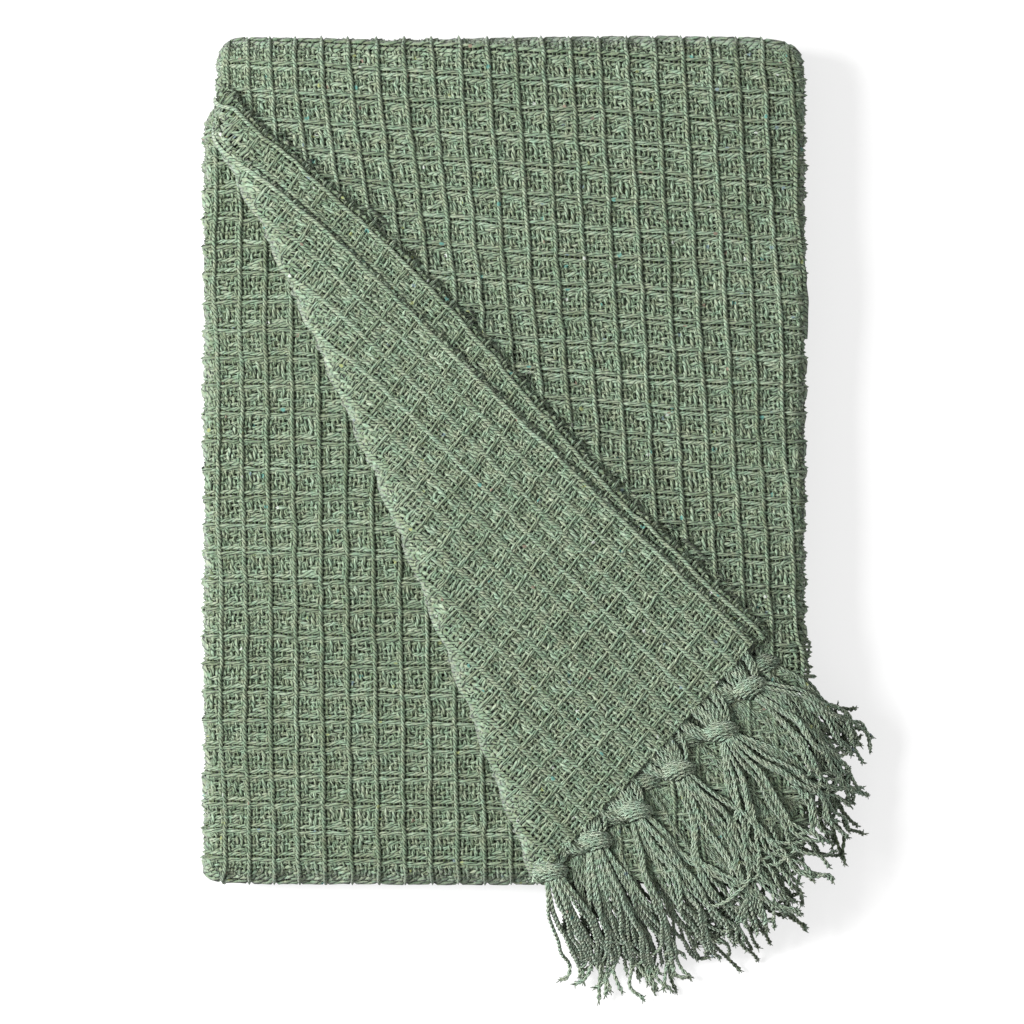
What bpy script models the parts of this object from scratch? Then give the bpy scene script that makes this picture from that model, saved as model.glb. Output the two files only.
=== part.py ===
"""Waffle weave cotton blanket, folded flat, with one corner of its top flap turned over.

The cloth is folded twice. Across its width it is folded into four plies, like a W lying on its
side. That four-ply band then runs back and forth along the length in four passes, like a
serpentine. The last pass is the top flap, and its left part is turned over along a diagonal, so
that its knotted fringe lies across the lower right corner.

Units are metres, +Z is up, and the origin is under the middle of the whole blanket.
"""
import math
from collections import namedtuple

import bmesh
import bpy
from mathutils import Vector

# ---- cloth and pile ---------------------------------------------------------------------
SHEET = 0.0026                # thickness of the waffle cloth
GAP = 0.0005                  # air between two layers
PLIES = 4                     # layers across, in each pass
PASSES = 4                    # passes up and down the pile
PILE_LEFT = -0.1853           # left edge of the pile
PILE_WIDTH = 0.325
PILE_BOTTOM = -0.1948         # lower edge of the pile, a rounded fold
PILE_LENGTH = 0.4585
FIRST_PASS_SETBACK = 0.016    # the hidden lowest end stops short of the lower edge
FREE_EDGE_SETBACK = 0.003     # free side edges stop short of the right edge

PITCH = SHEET + GAP
STACK = PLIES * SHEET + (PLIES - 1) * GAP
PASS_PITCH = STACK + GAP
PILE_HEIGHT = PASSES * STACK + (PASSES - 1) * GAP
PILE_RIGHT = PILE_LEFT + PILE_WIDTH
PILE_TOP = PILE_BOTTOM + PILE_LENGTH
FOLD_RADIUS = PITCH / 2                       # centreline radius of a side fold
TURN_RADIUS = PASS_PITCH / 2                  # centreline radius of a turn between passes
FOLD_REACH = FOLD_RADIUS + SHEET / 2          # side fold, to its outside
TURN_REACH = TURN_RADIUS + STACK / 2          # turn between passes, to its outside
FLAP_BASE = (PASSES - 1) * PASS_PITCH         # underside of the top flap
FLAP_END = PILE_BOTTOM + 0.0010               # free end of the top flap

# ---- turned-over corner -------------------------------------------------------------------
DIAGONAL = math.radians(23.6)                 # diagonal fold, from the left edge
APEX = Vector((PILE_LEFT, PILE_TOP - TURN_REACH - 0.0015))
ALONG = Vector((math.sin(DIAGONAL), -math.cos(DIAGONAL)))
ACROSS = Vector((math.cos(DIAGONAL), math.sin(DIAGONAL)))
BEND_GAP = 0.0009                             # inner radius of the diagonal fold
BEND_REACH = STACK + BEND_GAP                 # outer radius of the diagonal fold
INNER_PAIR_ROLL = BEND_GAP + PITCH            # roll radius of the two plies inside the bend
OUTER_PAIR_ROLL = BEND_GAP + 2.75 * PITCH     # and of the two plies around them
INNER_PAIR_STEPS = 4
OUTER_PAIR_STEPS = 6
BOW = 0.0105                                  # the diagonal fold bows towards the flap
BOW_PEAK = 0.42                               # where along the diagonal the bow is deepest
BOW_FADE = 0.16                               # the bow fades over this distance

# ---- unevenness ---------------------------------------------------------------------------
SIDE_CROWN = 0.11                             # share of the height lost at the side edges
END_CROWN = 0.07                              # and at the upper and lower edges
PILLOW = 0.0040                               # the side edges round in by this at top and base
SHOULDER = 0.0066                             # the pile steps in near its upper left corner
SHOULDER_FADE = 0.075
WOBBLE = 0.0009                               # waviness of the side edges
WOBBLE_LENGTH = 0.118

Corner = namedtuple("Corner", "x y zone depth")
CORNERS = (
    Corner(PILE_LEFT, PILE_TOP, 0.030, 0.0030),
    Corner(PILE_RIGHT, PILE_TOP, 0.045, 0.0050),
    Corner(PILE_LEFT, PILE_BOTTOM, 0.024, 0.0022),
    Corner(PILE_RIGHT, PILE_BOTTOM, 0.062, 0.0085),
)
CORNER_POWER = 4

# ---- fringe -------------------------------------------------------------------------------
HEADER_WIDTH = 0.0042                         # bar of gathered warp ends along the cloth
HEADER_HEIGHT = 0.0052
HEADER_CLEAR = 0.0006                         # gap between the header and the cloth's end
HEADER_START = 0.0335                         # along the flap's end, from the diagonal fold
HEADER_END = 0.1910
HEADER_STEPS = 9
RING_SIDES = 8
REST_CLEAR = 0.0012                           # tassels lie this far above the flap
SETTLE_START = 0.12                           # share of the reach where they leave the header
SETTLE_END = 0.38                             # and where they lie on the flap

# place: along the flap's end from the diagonal fold; heading: degrees clockwise from +X;
# reach: length seen from above; edge: share of the reach where it passes the pile's edge;
# spread: half width near the tip; tip: height of the tip's centre above the floor.
Tassel = namedtuple("Tassel", "place heading reach edge spread tip")
TASSELS = (
    Tassel(0.0405, 74, 0.078, 0.24, 0.0140, 0.0080),
    Tassel(0.0590, 70, 0.100, 0.36, 0.0180, 0.0080),
    Tassel(0.0850, 61, 0.107, 0.57, 0.0190, 0.0100),
    Tassel(0.1140, 56, 0.108, 0.84, 0.0190, 0.0330),
    Tassel(0.1430, 49, 0.114, 0.80, 0.0185, 0.0220),
    Tassel(0.1690, 40, 0.101, 0.55, 0.0180, 0.0100),
    Tassel(0.1850, 32, 0.078, 0.50, 0.0140, 0.0090),
)
# share of the reach, half width, half thickness, and how much of the tassel's spread it takes
Ring = namedtuple("Ring", "share width thickness flare")
TASSEL_RINGS = (
    Ring(0.00, 0.0036, 0.0020, 0.00),
    Ring(0.07, 0.0046, 0.0026, 0.00),
    Ring(0.13, 0.0072, 0.0044, 0.00),
    Ring(0.20, 0.0068, 0.0042, 0.00),
    Ring(0.28, 0.0044, 0.0030, 0.00),
    Ring(0.48, 0.0062, 0.0034, 0.40),
    Ring(0.66, 0.0070, 0.0034, 0.75),
    Ring(0.84, 0.0080, 0.0034, 1.00),
    Ring(1.00, 0.0060, 0.0020, 0.80),
)

SAGE = (0.245, 0.310, 0.232, 1.0)
SAGE_FRINGE = (0.285, 0.350, 0.270, 1.0)
COLLECTION = "waffle_weave_blanket"


def smoothstep(value, low, high):
    """Rise smoothly from 0 at low to 1 at high."""
    t = min(1.0, max(0.0, (value - low) / (high - low)))
    return t * t * (3.0 - 2.0 * t)


def fabric(name, colour):
    """A matte cotton material."""
    material = bpy.data.materials.new(name)
    material.use_nodes = True
    shader = material.node_tree.nodes["Principled BSDF"]
    shader.inputs["Base Color"].default_value = colour
    shader.inputs["Roughness"].default_value = 0.92
    shader.inputs["Metallic"].default_value = 0.0
    return material


# ---- the W across the width -------------------------------------------------------------

def ply_places(start, end):
    """Places along one ply: close together near its folds, wide apart in the middle."""
    steps = (0.0, 0.012, 0.046)
    sign = 1.0 if end > start else -1.0
    near = [start + sign * step for step in steps]
    far = [end - sign * step for step in reversed(steps)]
    return near + [(start + end) / 2] + far


def width_stations():
    """Stations across the four plies, each (x, n, normal x, normal n) on the centreline."""
    left = PILE_LEFT + FOLD_REACH
    right = PILE_RIGHT - FOLD_REACH
    free = PILE_RIGHT - FREE_EDGE_SETBACK
    stations = []
    for ply in range(PLIES):
        level = (ply - (PLIES - 1) / 2) * PITCH
        leftward = ply % 2 == 0
        start = left if not leftward else (free if ply == 0 else right)
        end = left if leftward else (free if ply == PLIES - 1 else right)
        side = 1.0 if not leftward else -1.0
        stations += [(x, level, 0.0, side) for x in ply_places(start, end)]
        if ply < PLIES - 1:
            centre = left if leftward else right
            outward = -1.0 if leftward else 1.0
            for step in (1, 2, 3):
                turn = math.pi * step / 4
                x = centre + outward * FOLD_RADIUS * math.sin(turn)
                n = level + FOLD_RADIUS * (1.0 - math.cos(turn))
                normal_x = -outward * math.sin(turn) * -side
                normal_n = side * math.cos(turn)
                stations.append((x, n, normal_x, normal_n))
    return stations


# ---- the serpentine along the length --------------------------------------------------------

def length_places(start, end):
    """Places along one pass: close together near its turns."""
    steps = (0.0, 0.014, 0.050)
    sign = 1.0 if end > start else -1.0
    near = [start + sign * step for step in steps]
    far = [end - sign * step for step in reversed(steps)]
    middle = [start + (end - start) * share for share in (0.36, 0.64)]
    return near + middle + far


def path_stations():
    """Stations along the four passes, each (y, z, normal y, normal z) at mid stack."""
    upper = PILE_TOP - TURN_REACH
    lower = PILE_BOTTOM + TURN_REACH
    stations = []
    for run in range(PASSES):
        level = STACK / 2 + run * PASS_PITCH
        upward = run % 2 == 0
        start = upper if not upward else lower
        if run == 0:
            start = PILE_BOTTOM + FIRST_PASS_SETBACK
        end = upper if upward else lower
        if run == PASSES - 1:
            end = FLAP_END
        side = 1.0 if upward else -1.0
        stations += [(y, level, 0.0, side) for y in length_places(start, end)]
        if run < PASSES - 1:
            centre = upper if upward else lower
            outward = 1.0 if upward else -1.0
            for step in (1, 2, 3, 4, 5):
                turn = math.pi * step / 6
                y = centre + outward * TURN_RADIUS * math.sin(turn)
                z = level + TURN_RADIUS * (1.0 - math.cos(turn))
                normal_y = -outward * side * math.sin(turn)
                normal_z = side * math.cos(turn)
                stations.append((y, z, normal_y, normal_z))
    return stations


# ---- turned corner and unevenness --------------------------------------------------------

def is_flap(point):
    """True for a point of the top flap before its corner is turned over."""
    return point.z > FLAP_BASE - GAP / 2 and point.y < PILE_TOP - TURN_REACH + 1e-6


def roll_radius(height):
    """Radius at which a ply rolls round the diagonal fold: the lower pair rolls outside."""
    return OUTER_PAIR_ROLL if height < STACK / 2 else INNER_PAIR_ROLL


def turn_over(point):
    """Roll a flap point that lies left of the diagonal over onto the flap.

    A point at distance -w left of the fold line goes round an arc of radius R by the angle
    -w / roll radius, and what is left of the distance after half a turn lies flat on top.
    """
    plan = Vector((point.x, point.y)) - APEX
    beside = plan.dot(ACROSS)
    if beside >= 0.0:
        return point
    height = point.z - FLAP_BASE
    roll = roll_radius(height)
    turn = min(math.pi, -beside / roll)
    radius = BEND_REACH - height
    lateral = -radius * math.sin(turn) + max(0.0, -beside - math.pi * roll)
    place = APEX + plan.dot(ALONG) * ALONG + lateral * ACROSS
    return Vector((place.x, place.y, FLAP_BASE + BEND_REACH - radius * math.cos(turn)))


def bow(point):
    """Sideways shift of the flap, so that its diagonal fold is a shallow curve."""
    plan = Vector((point.x, point.y)) - APEX
    length = (APEX.y - FLAP_END) / math.cos(DIAGONAL)
    share = min(1.0, max(0.0, plan.dot(ALONG) / length))
    rise = math.sin(math.pi * share ** (math.log(0.5) / math.log(BOW_PEAK)))
    fade = math.exp(-max(0.0, plan.dot(ACROSS)) ** 2 / BOW_FADE ** 2)
    edge = smoothstep(PILE_RIGHT - point.x, 0.0, 0.10)
    return BOW * rise * fade * edge


def crown(x, y):
    """Share of its height that the pile keeps at a place: it falls softly to its edges."""
    half_width = PILE_WIDTH / 2
    half_length = PILE_LENGTH / 2
    across = abs(x - (PILE_LEFT + half_width)) / half_width
    along = abs(y - (PILE_BOTTOM + half_length)) / half_length
    return 1.0 - SIDE_CROWN * min(1.0, across) ** 6 - END_CROWN * min(1.0, along) ** 10


def settle(point, flap):
    """Give a point of the folded cloth the pile's soft, uneven outline and crown."""
    x, y, z = point
    low_side = PILE_HEIGHT - PASS_PITCH
    # side edges: rounded in section, wavy along their length
    for edge, sign, height in ((PILE_LEFT, 1.0, low_side), (PILE_RIGHT, -1.0, PILE_HEIGHT)):
        near = max(0.0, 1.0 - sign * (point.x - edge) / SHOULDER_FADE) ** 2
        bulge = min(1.0, abs(2.0 * z / height - 1.0)) ** 3
        wave = math.sin(2.0 * math.pi * (y / WOBBLE_LENGTH + 40.0 * z) + sign)
        x += sign * near * (PILLOW * bulge + WOBBLE * (1.0 + wave))
    # the upper left shoulder steps in, lower down on the flap than on the pile below it
    near = max(0.0, 1.0 - (point.x - PILE_LEFT) / SHOULDER_FADE) ** 2
    if flap:
        step_in = smoothstep(point.y, PILE_TOP - 0.095, PILE_TOP - 0.055)
    else:
        step_in = smoothstep(point.y, PILE_TOP - 0.050, PILE_TOP - 0.036)
    x += near * SHOULDER * step_in
    for corner in CORNERS:
        sign_x = 1.0 if corner.x < PILE_LEFT + PILE_WIDTH / 2 else -1.0
        sign_y = 1.0 if corner.y < PILE_BOTTOM + PILE_LENGTH / 2 else -1.0
        p = max(0.0, 1.0 - sign_x * (point.x - corner.x) / corner.zone)
        q = max(0.0, 1.0 - sign_y * (point.y - corner.y) / corner.zone)
        pull = corner.depth * min(1.2, p * q) ** CORNER_POWER
        x += sign_x * pull
        y += sign_y * pull
    return Vector((x, y, z * crown(point.x, point.y)))


def soften(point, flap):
    """Bow and settle a point of the folded blanket."""
    if not flap:
        return settle(point, flap)
    shift = bow(point) * ACROSS
    return settle(point + Vector((shift.x, shift.y, 0.0)), flap)


def build_cloth(collection):
    """The folded cloth: a sheet with two faces, swept across the W and along the passes."""
    across = width_stations()
    along = path_stations()
    mesh = bmesh.new()
    grid = {}
    for face in (0, 1):
        offset = SHEET / 2 if face == 0 else -SHEET / 2
        for i, (x, n, normal_x, normal_n) in enumerate(across):
            for j, (y, z, normal_y, normal_z) in enumerate(along):
                level = n + offset * normal_n
                spot = (x + offset * normal_x, y + level * normal_y, z + level * normal_z)
                grid[face, i, j] = mesh.verts.new(spot)
    last_i = len(across) - 1
    last_j = len(along) - 1
    for i in range(last_i):
        for j in range(last_j):
            for face in (0, 1):
                ring = [(i, j), (i + 1, j), (i + 1, j + 1), (i, j + 1)]
                mesh.faces.new([grid[face, a, b] for a, b in (ring if face else ring[::-1])])
    for i in range(last_i):
        for j in (0, last_j):
            mesh.faces.new([grid[0, i, j], grid[0, i + 1, j], grid[1, i + 1, j], grid[1, i, j]])
    for j in range(last_j):
        for i in (0, last_i):
            mesh.faces.new([grid[0, i, j], grid[0, i, j + 1], grid[1, i, j + 1], grid[1, i, j]])
    cut_for_roll(mesh)
    for vertex in mesh.verts:
        flap = is_flap(vertex.co)
        vertex.co = soften(turn_over(vertex.co) if flap else vertex.co, flap)
    bmesh.ops.triangulate(mesh, faces=mesh.faces[:])
    bmesh.ops.recalc_face_normals(mesh, faces=mesh.faces[:])
    return finish("waffle_cloth", mesh, fabric("sage_waffle_cotton", SAGE), collection)


def cut_for_roll(mesh):
    """Cut the flap's plies along the diagonal where they start, follow and leave the roll."""
    rolls = ((INNER_PAIR_ROLL, INNER_PAIR_STEPS), (OUTER_PAIR_ROLL, OUTER_PAIR_STEPS))
    for roll, steps in rolls:
        for step in range(steps + 1):
            beside = -roll * math.pi * step / steps
            spot = APEX + beside * ACROSS
            faces = [
                face for face in mesh.faces
                if all(is_flap(vertex.co) for vertex in face.verts)
                and abs(roll_radius(face.calc_center_median().z - FLAP_BASE) - roll) < 1e-9
            ]
            edges = {edge for face in faces for edge in face.edges}
            verts = {vertex for face in faces for vertex in face.verts}
            bmesh.ops.bisect_plane(
                mesh, geom=faces + list(edges) + list(verts), dist=1e-7,
                plane_co=(spot.x, spot.y, 0.0), plane_no=(ACROSS.x, ACROSS.y, 0.0))


def fringe_spot(place, outward, height):
    """A spot beyond the turned corner's end: along it, outward from it, above the flap's base."""
    crossing = APEX.x + (APEX.y - FLAP_END) * math.tan(DIAGONAL)
    flat = Vector((crossing - place, FLAP_END, FLAP_BASE))
    turned = turn_over(flat)
    hang = (math.sin(2 * DIAGONAL), -math.cos(2 * DIAGONAL))
    spot = Vector((turned.x + outward * hang[0], turned.y + outward * hang[1], height))
    return soften(spot, True)


def loft(name, rings, material, collection):
    """A closed body through rings of equal length, capped at both ends."""
    mesh = bmesh.new()
    rows = [[mesh.verts.new(spot) for spot in ring] for ring in rings]
    count = len(rows[0])
    for low, high in zip(rows, rows[1:]):
        for k in range(count):
            after = (k + 1) % count
            mesh.faces.new((low[k], low[after], high[after], high[k]))
    mesh.faces.new(rows[0][::-1])
    mesh.faces.new(rows[-1])
    bmesh.ops.recalc_face_normals(mesh, faces=mesh.faces[:])
    return finish(name, mesh, material, collection)


def header_rings():
    """Oval rings of the header, along the end of the two upper plies of the turned corner."""
    middle = HEADER_CLEAR + HEADER_WIDTH / 2
    level = FLAP_BASE + BEND_REACH + STACK + BEND_GAP - HEADER_HEIGHT / 2
    rings = []
    for step in range(HEADER_STEPS + 1):
        place = HEADER_START + (HEADER_END - HEADER_START) * step / HEADER_STEPS
        turns = [2.0 * math.pi * k / RING_SIDES for k in range(RING_SIDES)]
        rings.append([
            fringe_spot(place, middle + HEADER_WIDTH / 2 * math.cos(turn),
                        level + HEADER_HEIGHT / 2 * math.sin(turn))
            for turn in turns])
    return rings


def tassel_rings(tassel):
    """Oval rings of one tassel: gathered, knotted, then flaring and falling over the edge."""
    level = FLAP_BASE + BEND_REACH + STACK + BEND_GAP - HEADER_HEIGHT / 2
    start = fringe_spot(tassel.place, HEADER_CLEAR + HEADER_WIDTH / 2, level)
    heading = math.radians(tassel.heading)
    ahead = Vector((math.cos(heading), -math.sin(heading), 0.0))
    beside = Vector((math.sin(heading), math.cos(heading), 0.0))

    def centre(share):
        spot = start + ahead * tassel.reach * share
        lying = PILE_HEIGHT * crown(spot.x, spot.y) + REST_CLEAR + 0.0038
        spot.z += (lying - start.z) * smoothstep(share, SETTLE_START, SETTLE_END)
        spot.z += (tassel.tip - spot.z) * smoothstep(share, tassel.edge, 1.0)
        return spot

    rings = []
    for ring in TASSEL_RINGS:
        slope = centre(min(1.0, ring.share + 0.02)) - centre(max(0.0, ring.share - 0.02))
        upward = beside.cross(slope.normalized())
        if upward.z < 0.0:
            upward.negate()
        width = ring.width + (tassel.spread - ring.width) * ring.flare
        middle = centre(ring.share)
        turns = [2.0 * math.pi * k / RING_SIDES for k in range(RING_SIDES)]
        rings.append([
            middle + beside * width * math.cos(turn) + upward * ring.thickness * math.sin(turn)
            for turn in turns])
    return rings


def build_fringe(collection, helpers):
    """The fringe as one comb: a header along the turned corner's end, and its tassels."""
    material = fabric("sage_fringe_cotton", SAGE_FRINGE)
    comb = loft("knotted_fringe", header_rings(), material, collection)
    for number, tassel in enumerate(TASSELS, start=1):
        lobe = loft(f"tassel_{number}", tassel_rings(tassel), material, helpers)
        lobe.hide_render = True
        lobe.display_type = "WIRE"
        joining = comb.modifiers.new(f"join tassel {number}", "BOOLEAN")
        joining.operation = "UNION"
        joining.solver = "EXACT"
        joining.object = lobe
    return comb


def finish(name, mesh, material, collection):
    """Turn a bmesh into an object in the collection."""
    data = bpy.data.meshes.new(name)
    mesh.to_mesh(data)
    mesh.free()
    data.materials.append(material)
    item = bpy.data.objects.new(name, data)
    collection.objects.link(item)
    return item


def main():
    for item in list(bpy.data.objects):
        bpy.data.objects.remove(item, do_unlink=True)
    collection = bpy.data.collections.new(COLLECTION)
    bpy.context.scene.collection.children.link(collection)
    helpers = bpy.data.collections.new("joined_shapes")
    bpy.context.scene.collection.children.link(helpers)
    build_cloth(collection)
    build_fringe(collection, helpers)


main()
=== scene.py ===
"""Looks of a folded waffle weave cotton blanket with a turned-over corner and a knotted fringe.

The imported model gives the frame. The cloth is dressed with a thin folded sheet, and its visible
faces with real woven yarns: warp and weft tubes that pass over and under each other in a waffle
draft. The fringe is gathered, knotted and twisted from two-ply strands.
"""

import logging
import math
from collections.abc import Callable
from dataclasses import dataclass, replace
from enum import Enum, auto

import bmesh
import bpy
import numpy as np
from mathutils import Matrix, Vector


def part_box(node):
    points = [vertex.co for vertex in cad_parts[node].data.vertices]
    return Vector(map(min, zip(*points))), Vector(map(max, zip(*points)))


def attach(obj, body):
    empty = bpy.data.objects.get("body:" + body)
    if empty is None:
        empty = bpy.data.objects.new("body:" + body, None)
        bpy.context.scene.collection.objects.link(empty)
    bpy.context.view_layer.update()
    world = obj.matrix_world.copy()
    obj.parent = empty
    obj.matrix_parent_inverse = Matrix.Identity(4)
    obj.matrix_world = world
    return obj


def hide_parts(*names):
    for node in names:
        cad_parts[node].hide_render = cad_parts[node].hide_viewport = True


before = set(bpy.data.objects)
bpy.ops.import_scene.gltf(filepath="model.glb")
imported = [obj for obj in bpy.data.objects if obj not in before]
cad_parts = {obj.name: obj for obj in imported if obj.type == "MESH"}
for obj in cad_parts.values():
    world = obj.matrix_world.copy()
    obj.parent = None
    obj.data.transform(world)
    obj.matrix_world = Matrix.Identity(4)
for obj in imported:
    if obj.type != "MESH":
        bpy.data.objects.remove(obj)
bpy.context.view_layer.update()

log = logging.getLogger("waffle_blanket")
Array = np.ndarray
Rng = np.random.Generator
Socket = bpy.types.NodeSocket
Material = bpy.types.Material
Mesh = bpy.types.Mesh
Item = bpy.types.Object
Colour = tuple[float, float, float, float]
WHITE: Colour = (1.0, 1.0, 1.0, 1.0)
SEED = 20


# ---- small numeric helpers -----------------------------------------------------------------------

def smoothstep(value: Array, low: float, high: float) -> Array:
    """Rise smoothly from 0 at low to 1 at high: t squared times (3 minus 2t).

    Args:
        value: where to read the step.
        low: where the rise starts.
        high: where it ends; it may be below low, and then the step falls.

    Returns:
        The share, from 0 to 1, for each value.
    """
    t = np.clip((value - low) / (high - low), 0.0, 1.0)
    return t * t * (3.0 - 2.0 * t)


def unit(vectors: Array) -> Array:
    """Vectors over their own length, along the last axis."""
    return vectors / np.maximum(np.linalg.norm(vectors, axis=-1, keepdims=True), 1e-12)


def soft_noise(rng: Rng, shape: tuple[int, int],
               steps: tuple[float, float]) -> Array:
    """Smooth random field between about -1 and 1.

    A coarse grid of random values is read in between with a smoothstep blend on each axis.

    Args:
        rng: seeded random source.
        shape: rows and columns of the field.
        steps: how many samples one coarse step spans, per axis.

    Returns:
        An array of the given shape.
    """
    rows = int(shape[0] / steps[0]) + 3
    cols = int(shape[1] / steps[1]) + 3
    coarse = rng.uniform(-1.0, 1.0, (rows, cols))
    y = np.arange(shape[0]) / steps[0]
    x = np.arange(shape[1]) / steps[1]
    y0, x0 = y.astype(int), x.astype(int)
    fy = smoothstep(y - y0, 0.0, 1.0)[:, None]
    fx = smoothstep(x - x0, 0.0, 1.0)[None, :]
    a = coarse[np.ix_(y0, x0)] * (1 - fx) + coarse[np.ix_(y0, x0 + 1)] * fx
    b = coarse[np.ix_(y0 + 1, x0)] * (1 - fx) + coarse[np.ix_(y0 + 1, x0 + 1)] * fx
    return a * (1 - fy) + b * fy


# ---- the folded shape ----------------------------------------------------------------------------

@dataclass(frozen=True)
class Corner:
    """A rounded corner of the pile: its place, the zone that it eases and how far it draws in."""

    x: float
    y: float
    zone: float
    depth: float


@dataclass
class FoldedPile:
    """The blanket's folds: four plies across in each of four passes, and a turned-over corner.

    Args:
        left, bottom, length, width: edges and sizes of the folded cloth, in metres.
        sheet, gap: thickness of a ply, and the gap between plies and between passes.
        first_setback, free_setback, end_setback: how far the lowest pass's end, the free side
            edges and the flap's end stand back.
        diagonal, apex_drop: the diagonal fold's angle, and its upper end below the flap's turn.
        bend_gap, outer_roll_plies: gap under the turned corner, and roll radius of its outer
            plies over that gap in ply pitches.
        bow_depth, bow_peak, bow_fade: the fold's bow, where it is deepest, and its reach.
        ridge_tight, ridge_spread: roll radius of the inner plies at the top, and its growth.
        side_crown, end_crown, pillow: how much the pile sinks and draws in at its edges.
        shoulder, shoulder_fade: step of the upper left edge, and its reach.
        spread, wobble, wobble_length: widening about the middle, and waves along the sides.
    """

    left: float
    bottom: float
    length: float
    width: float = 0.325
    sheet: float = 0.0026
    gap: float = 0.0005
    plies: int = 4
    passes: int = 4
    first_setback: float = 0.016
    free_setback: float = 0.003
    end_setback: float = 0.0010
    diagonal: float = math.radians(23.6)
    apex_drop: float = 0.0015
    bend_gap: float = 0.0009
    outer_roll_plies: float = 2.75
    bow_depth: float = 0.0105
    bow_peak: float = 0.42
    bow_fade: float = 0.075
    ridge_tight: float = 0.0029
    ridge_spread: float = 0.0042
    side_crown: float = 0.11
    end_crown: float = 0.07
    pillow: float = 0.0022
    shoulder: float = 0.0066
    shoulder_fade: float = 0.075
    spread: float = 1.012
    wobble: float = 0.0009
    wobble_length: float = 0.118

    def __post_init__(self) -> None:
        """Work out the derived sizes of the stack, its turns and the diagonal roll."""
        self.pitch = self.sheet + self.gap
        self.stack = self.plies * self.sheet + (self.plies - 1) * self.gap
        self.pass_pitch = self.stack + self.gap
        self.height = self.passes * self.stack + (self.passes - 1) * self.gap
        self.right = self.left + self.width
        self.top = self.bottom + self.length
        self.fold_radius = self.pitch / 2
        self.fold_reach = self.fold_radius + self.sheet / 2
        self.turn_radius = self.pass_pitch / 2
        self.turn_reach = self.turn_radius + self.stack / 2
        self.flap_base = (self.passes - 1) * self.pass_pitch
        self.flap_end = self.bottom + self.end_setback
        self.upper = self.top - self.turn_reach
        self.lower = self.bottom + self.turn_reach
        self.apex = np.array([self.left, self.upper - self.apex_drop])
        self.along = np.array([math.sin(self.diagonal), -math.cos(self.diagonal)])
        self.across = np.array([math.cos(self.diagonal), math.sin(self.diagonal)])
        self.bend_reach = self.stack + self.bend_gap
        self.inner_roll = self.bend_gap + self.pitch
        self.outer_roll = self.bend_gap + self.outer_roll_plies * self.pitch
        self.fall = (self.apex[1] - self.flap_end) / math.cos(self.diagonal)
        self.corners = (
            Corner(self.left, self.top, 0.030, 0.0030),
            Corner(self.right, self.top, 0.045, 0.0050),
            Corner(self.left, self.bottom, 0.024, 0.0022),
            Corner(self.right, self.bottom, 0.062, 0.0085),
        )

    def diagonal_place(self, points: Array) -> tuple[Array, Array]:
        """Distance along the diagonal fold from its apex, and distance to its right."""
        plan = points[..., :2] - self.apex
        return plan @ self.along, plan @ self.across

    def turn_over(self, points: Array, roll: float | Array) -> Array:
        """Roll flap points left of the diagonal over onto the flap.

        A point at distance -w left of the fold line turns by -w / roll round an arc, whose radius
        is the bend's reach less the point's height. What is left of the distance after half a
        turn lies flat on top.

        Args:
            points: places on the flap before the corner is turned over.
            roll: radius at which the ply rolls, which sets how soon it has gone round.

        Returns:
            The places after the turn.
        """
        length, beside = self.diagonal_place(points)
        turned = beside < 0.0
        height = points[..., 2] - self.flap_base
        turn = np.minimum(math.pi, np.maximum(0.0, -beside) / roll)
        radius = self.bend_reach - height
        lateral = -radius * np.sin(turn) + np.maximum(0.0, -beside - math.pi * roll)
        place = self.apex + length[..., None] * self.along + lateral[..., None] * self.across
        z = self.flap_base + self.bend_reach - radius * np.cos(turn)
        rolled = np.concatenate([place, z[..., None]], axis=-1)
        return np.where(turned[..., None], rolled, points)

    def ridge_roll(self, length: Array) -> Array:
        """Roll radius of the upper plies: it grows down the fold, which narrows their ridge."""
        return self.ridge_tight + self.ridge_spread * smoothstep(length / self.fall, 0.28, 0.70)

    def bow(self, points: Array) -> Array:
        """Shift of the flap across its diagonal, so that the fold is a shallow curve.

        It is a half sine along the fold, times a bell curve across, and it fades out towards the
        right side and the flap's turn.

        Args:
            points: places on the flap.

        Returns:
            The shift of each, in metres.
        """
        length, beside = self.diagonal_place(points)
        share = np.clip(length / self.fall, 0.0, 1.0)
        rise = np.sin(math.pi * share ** (math.log(0.5) / math.log(self.bow_peak)))
        fade = np.exp(-np.maximum(0.0, beside) ** 2 / self.bow_fade ** 2)
        edge = smoothstep(self.right - points[..., 0], 0.0, 0.10)
        edge = edge * smoothstep(self.top - points[..., 1], 0.0, 0.11)
        return self.bow_depth * rise * fade * edge

    def crown(self, x: Array, y: Array) -> Array:
        """Share of its height that the pile keeps: 1 less high powers of the way to its edges.

        Args:
            x, y: places seen from above.

        Returns:
            The share at each.
        """
        across = np.minimum(1.0, np.abs(x - (self.left + self.width / 2)) / (self.width / 2))
        along = np.minimum(1.0, np.abs(y - (self.bottom + self.length / 2)) / (self.length / 2))
        return 1.0 - self.side_crown * across ** 6 - self.end_crown * along ** 10

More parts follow.
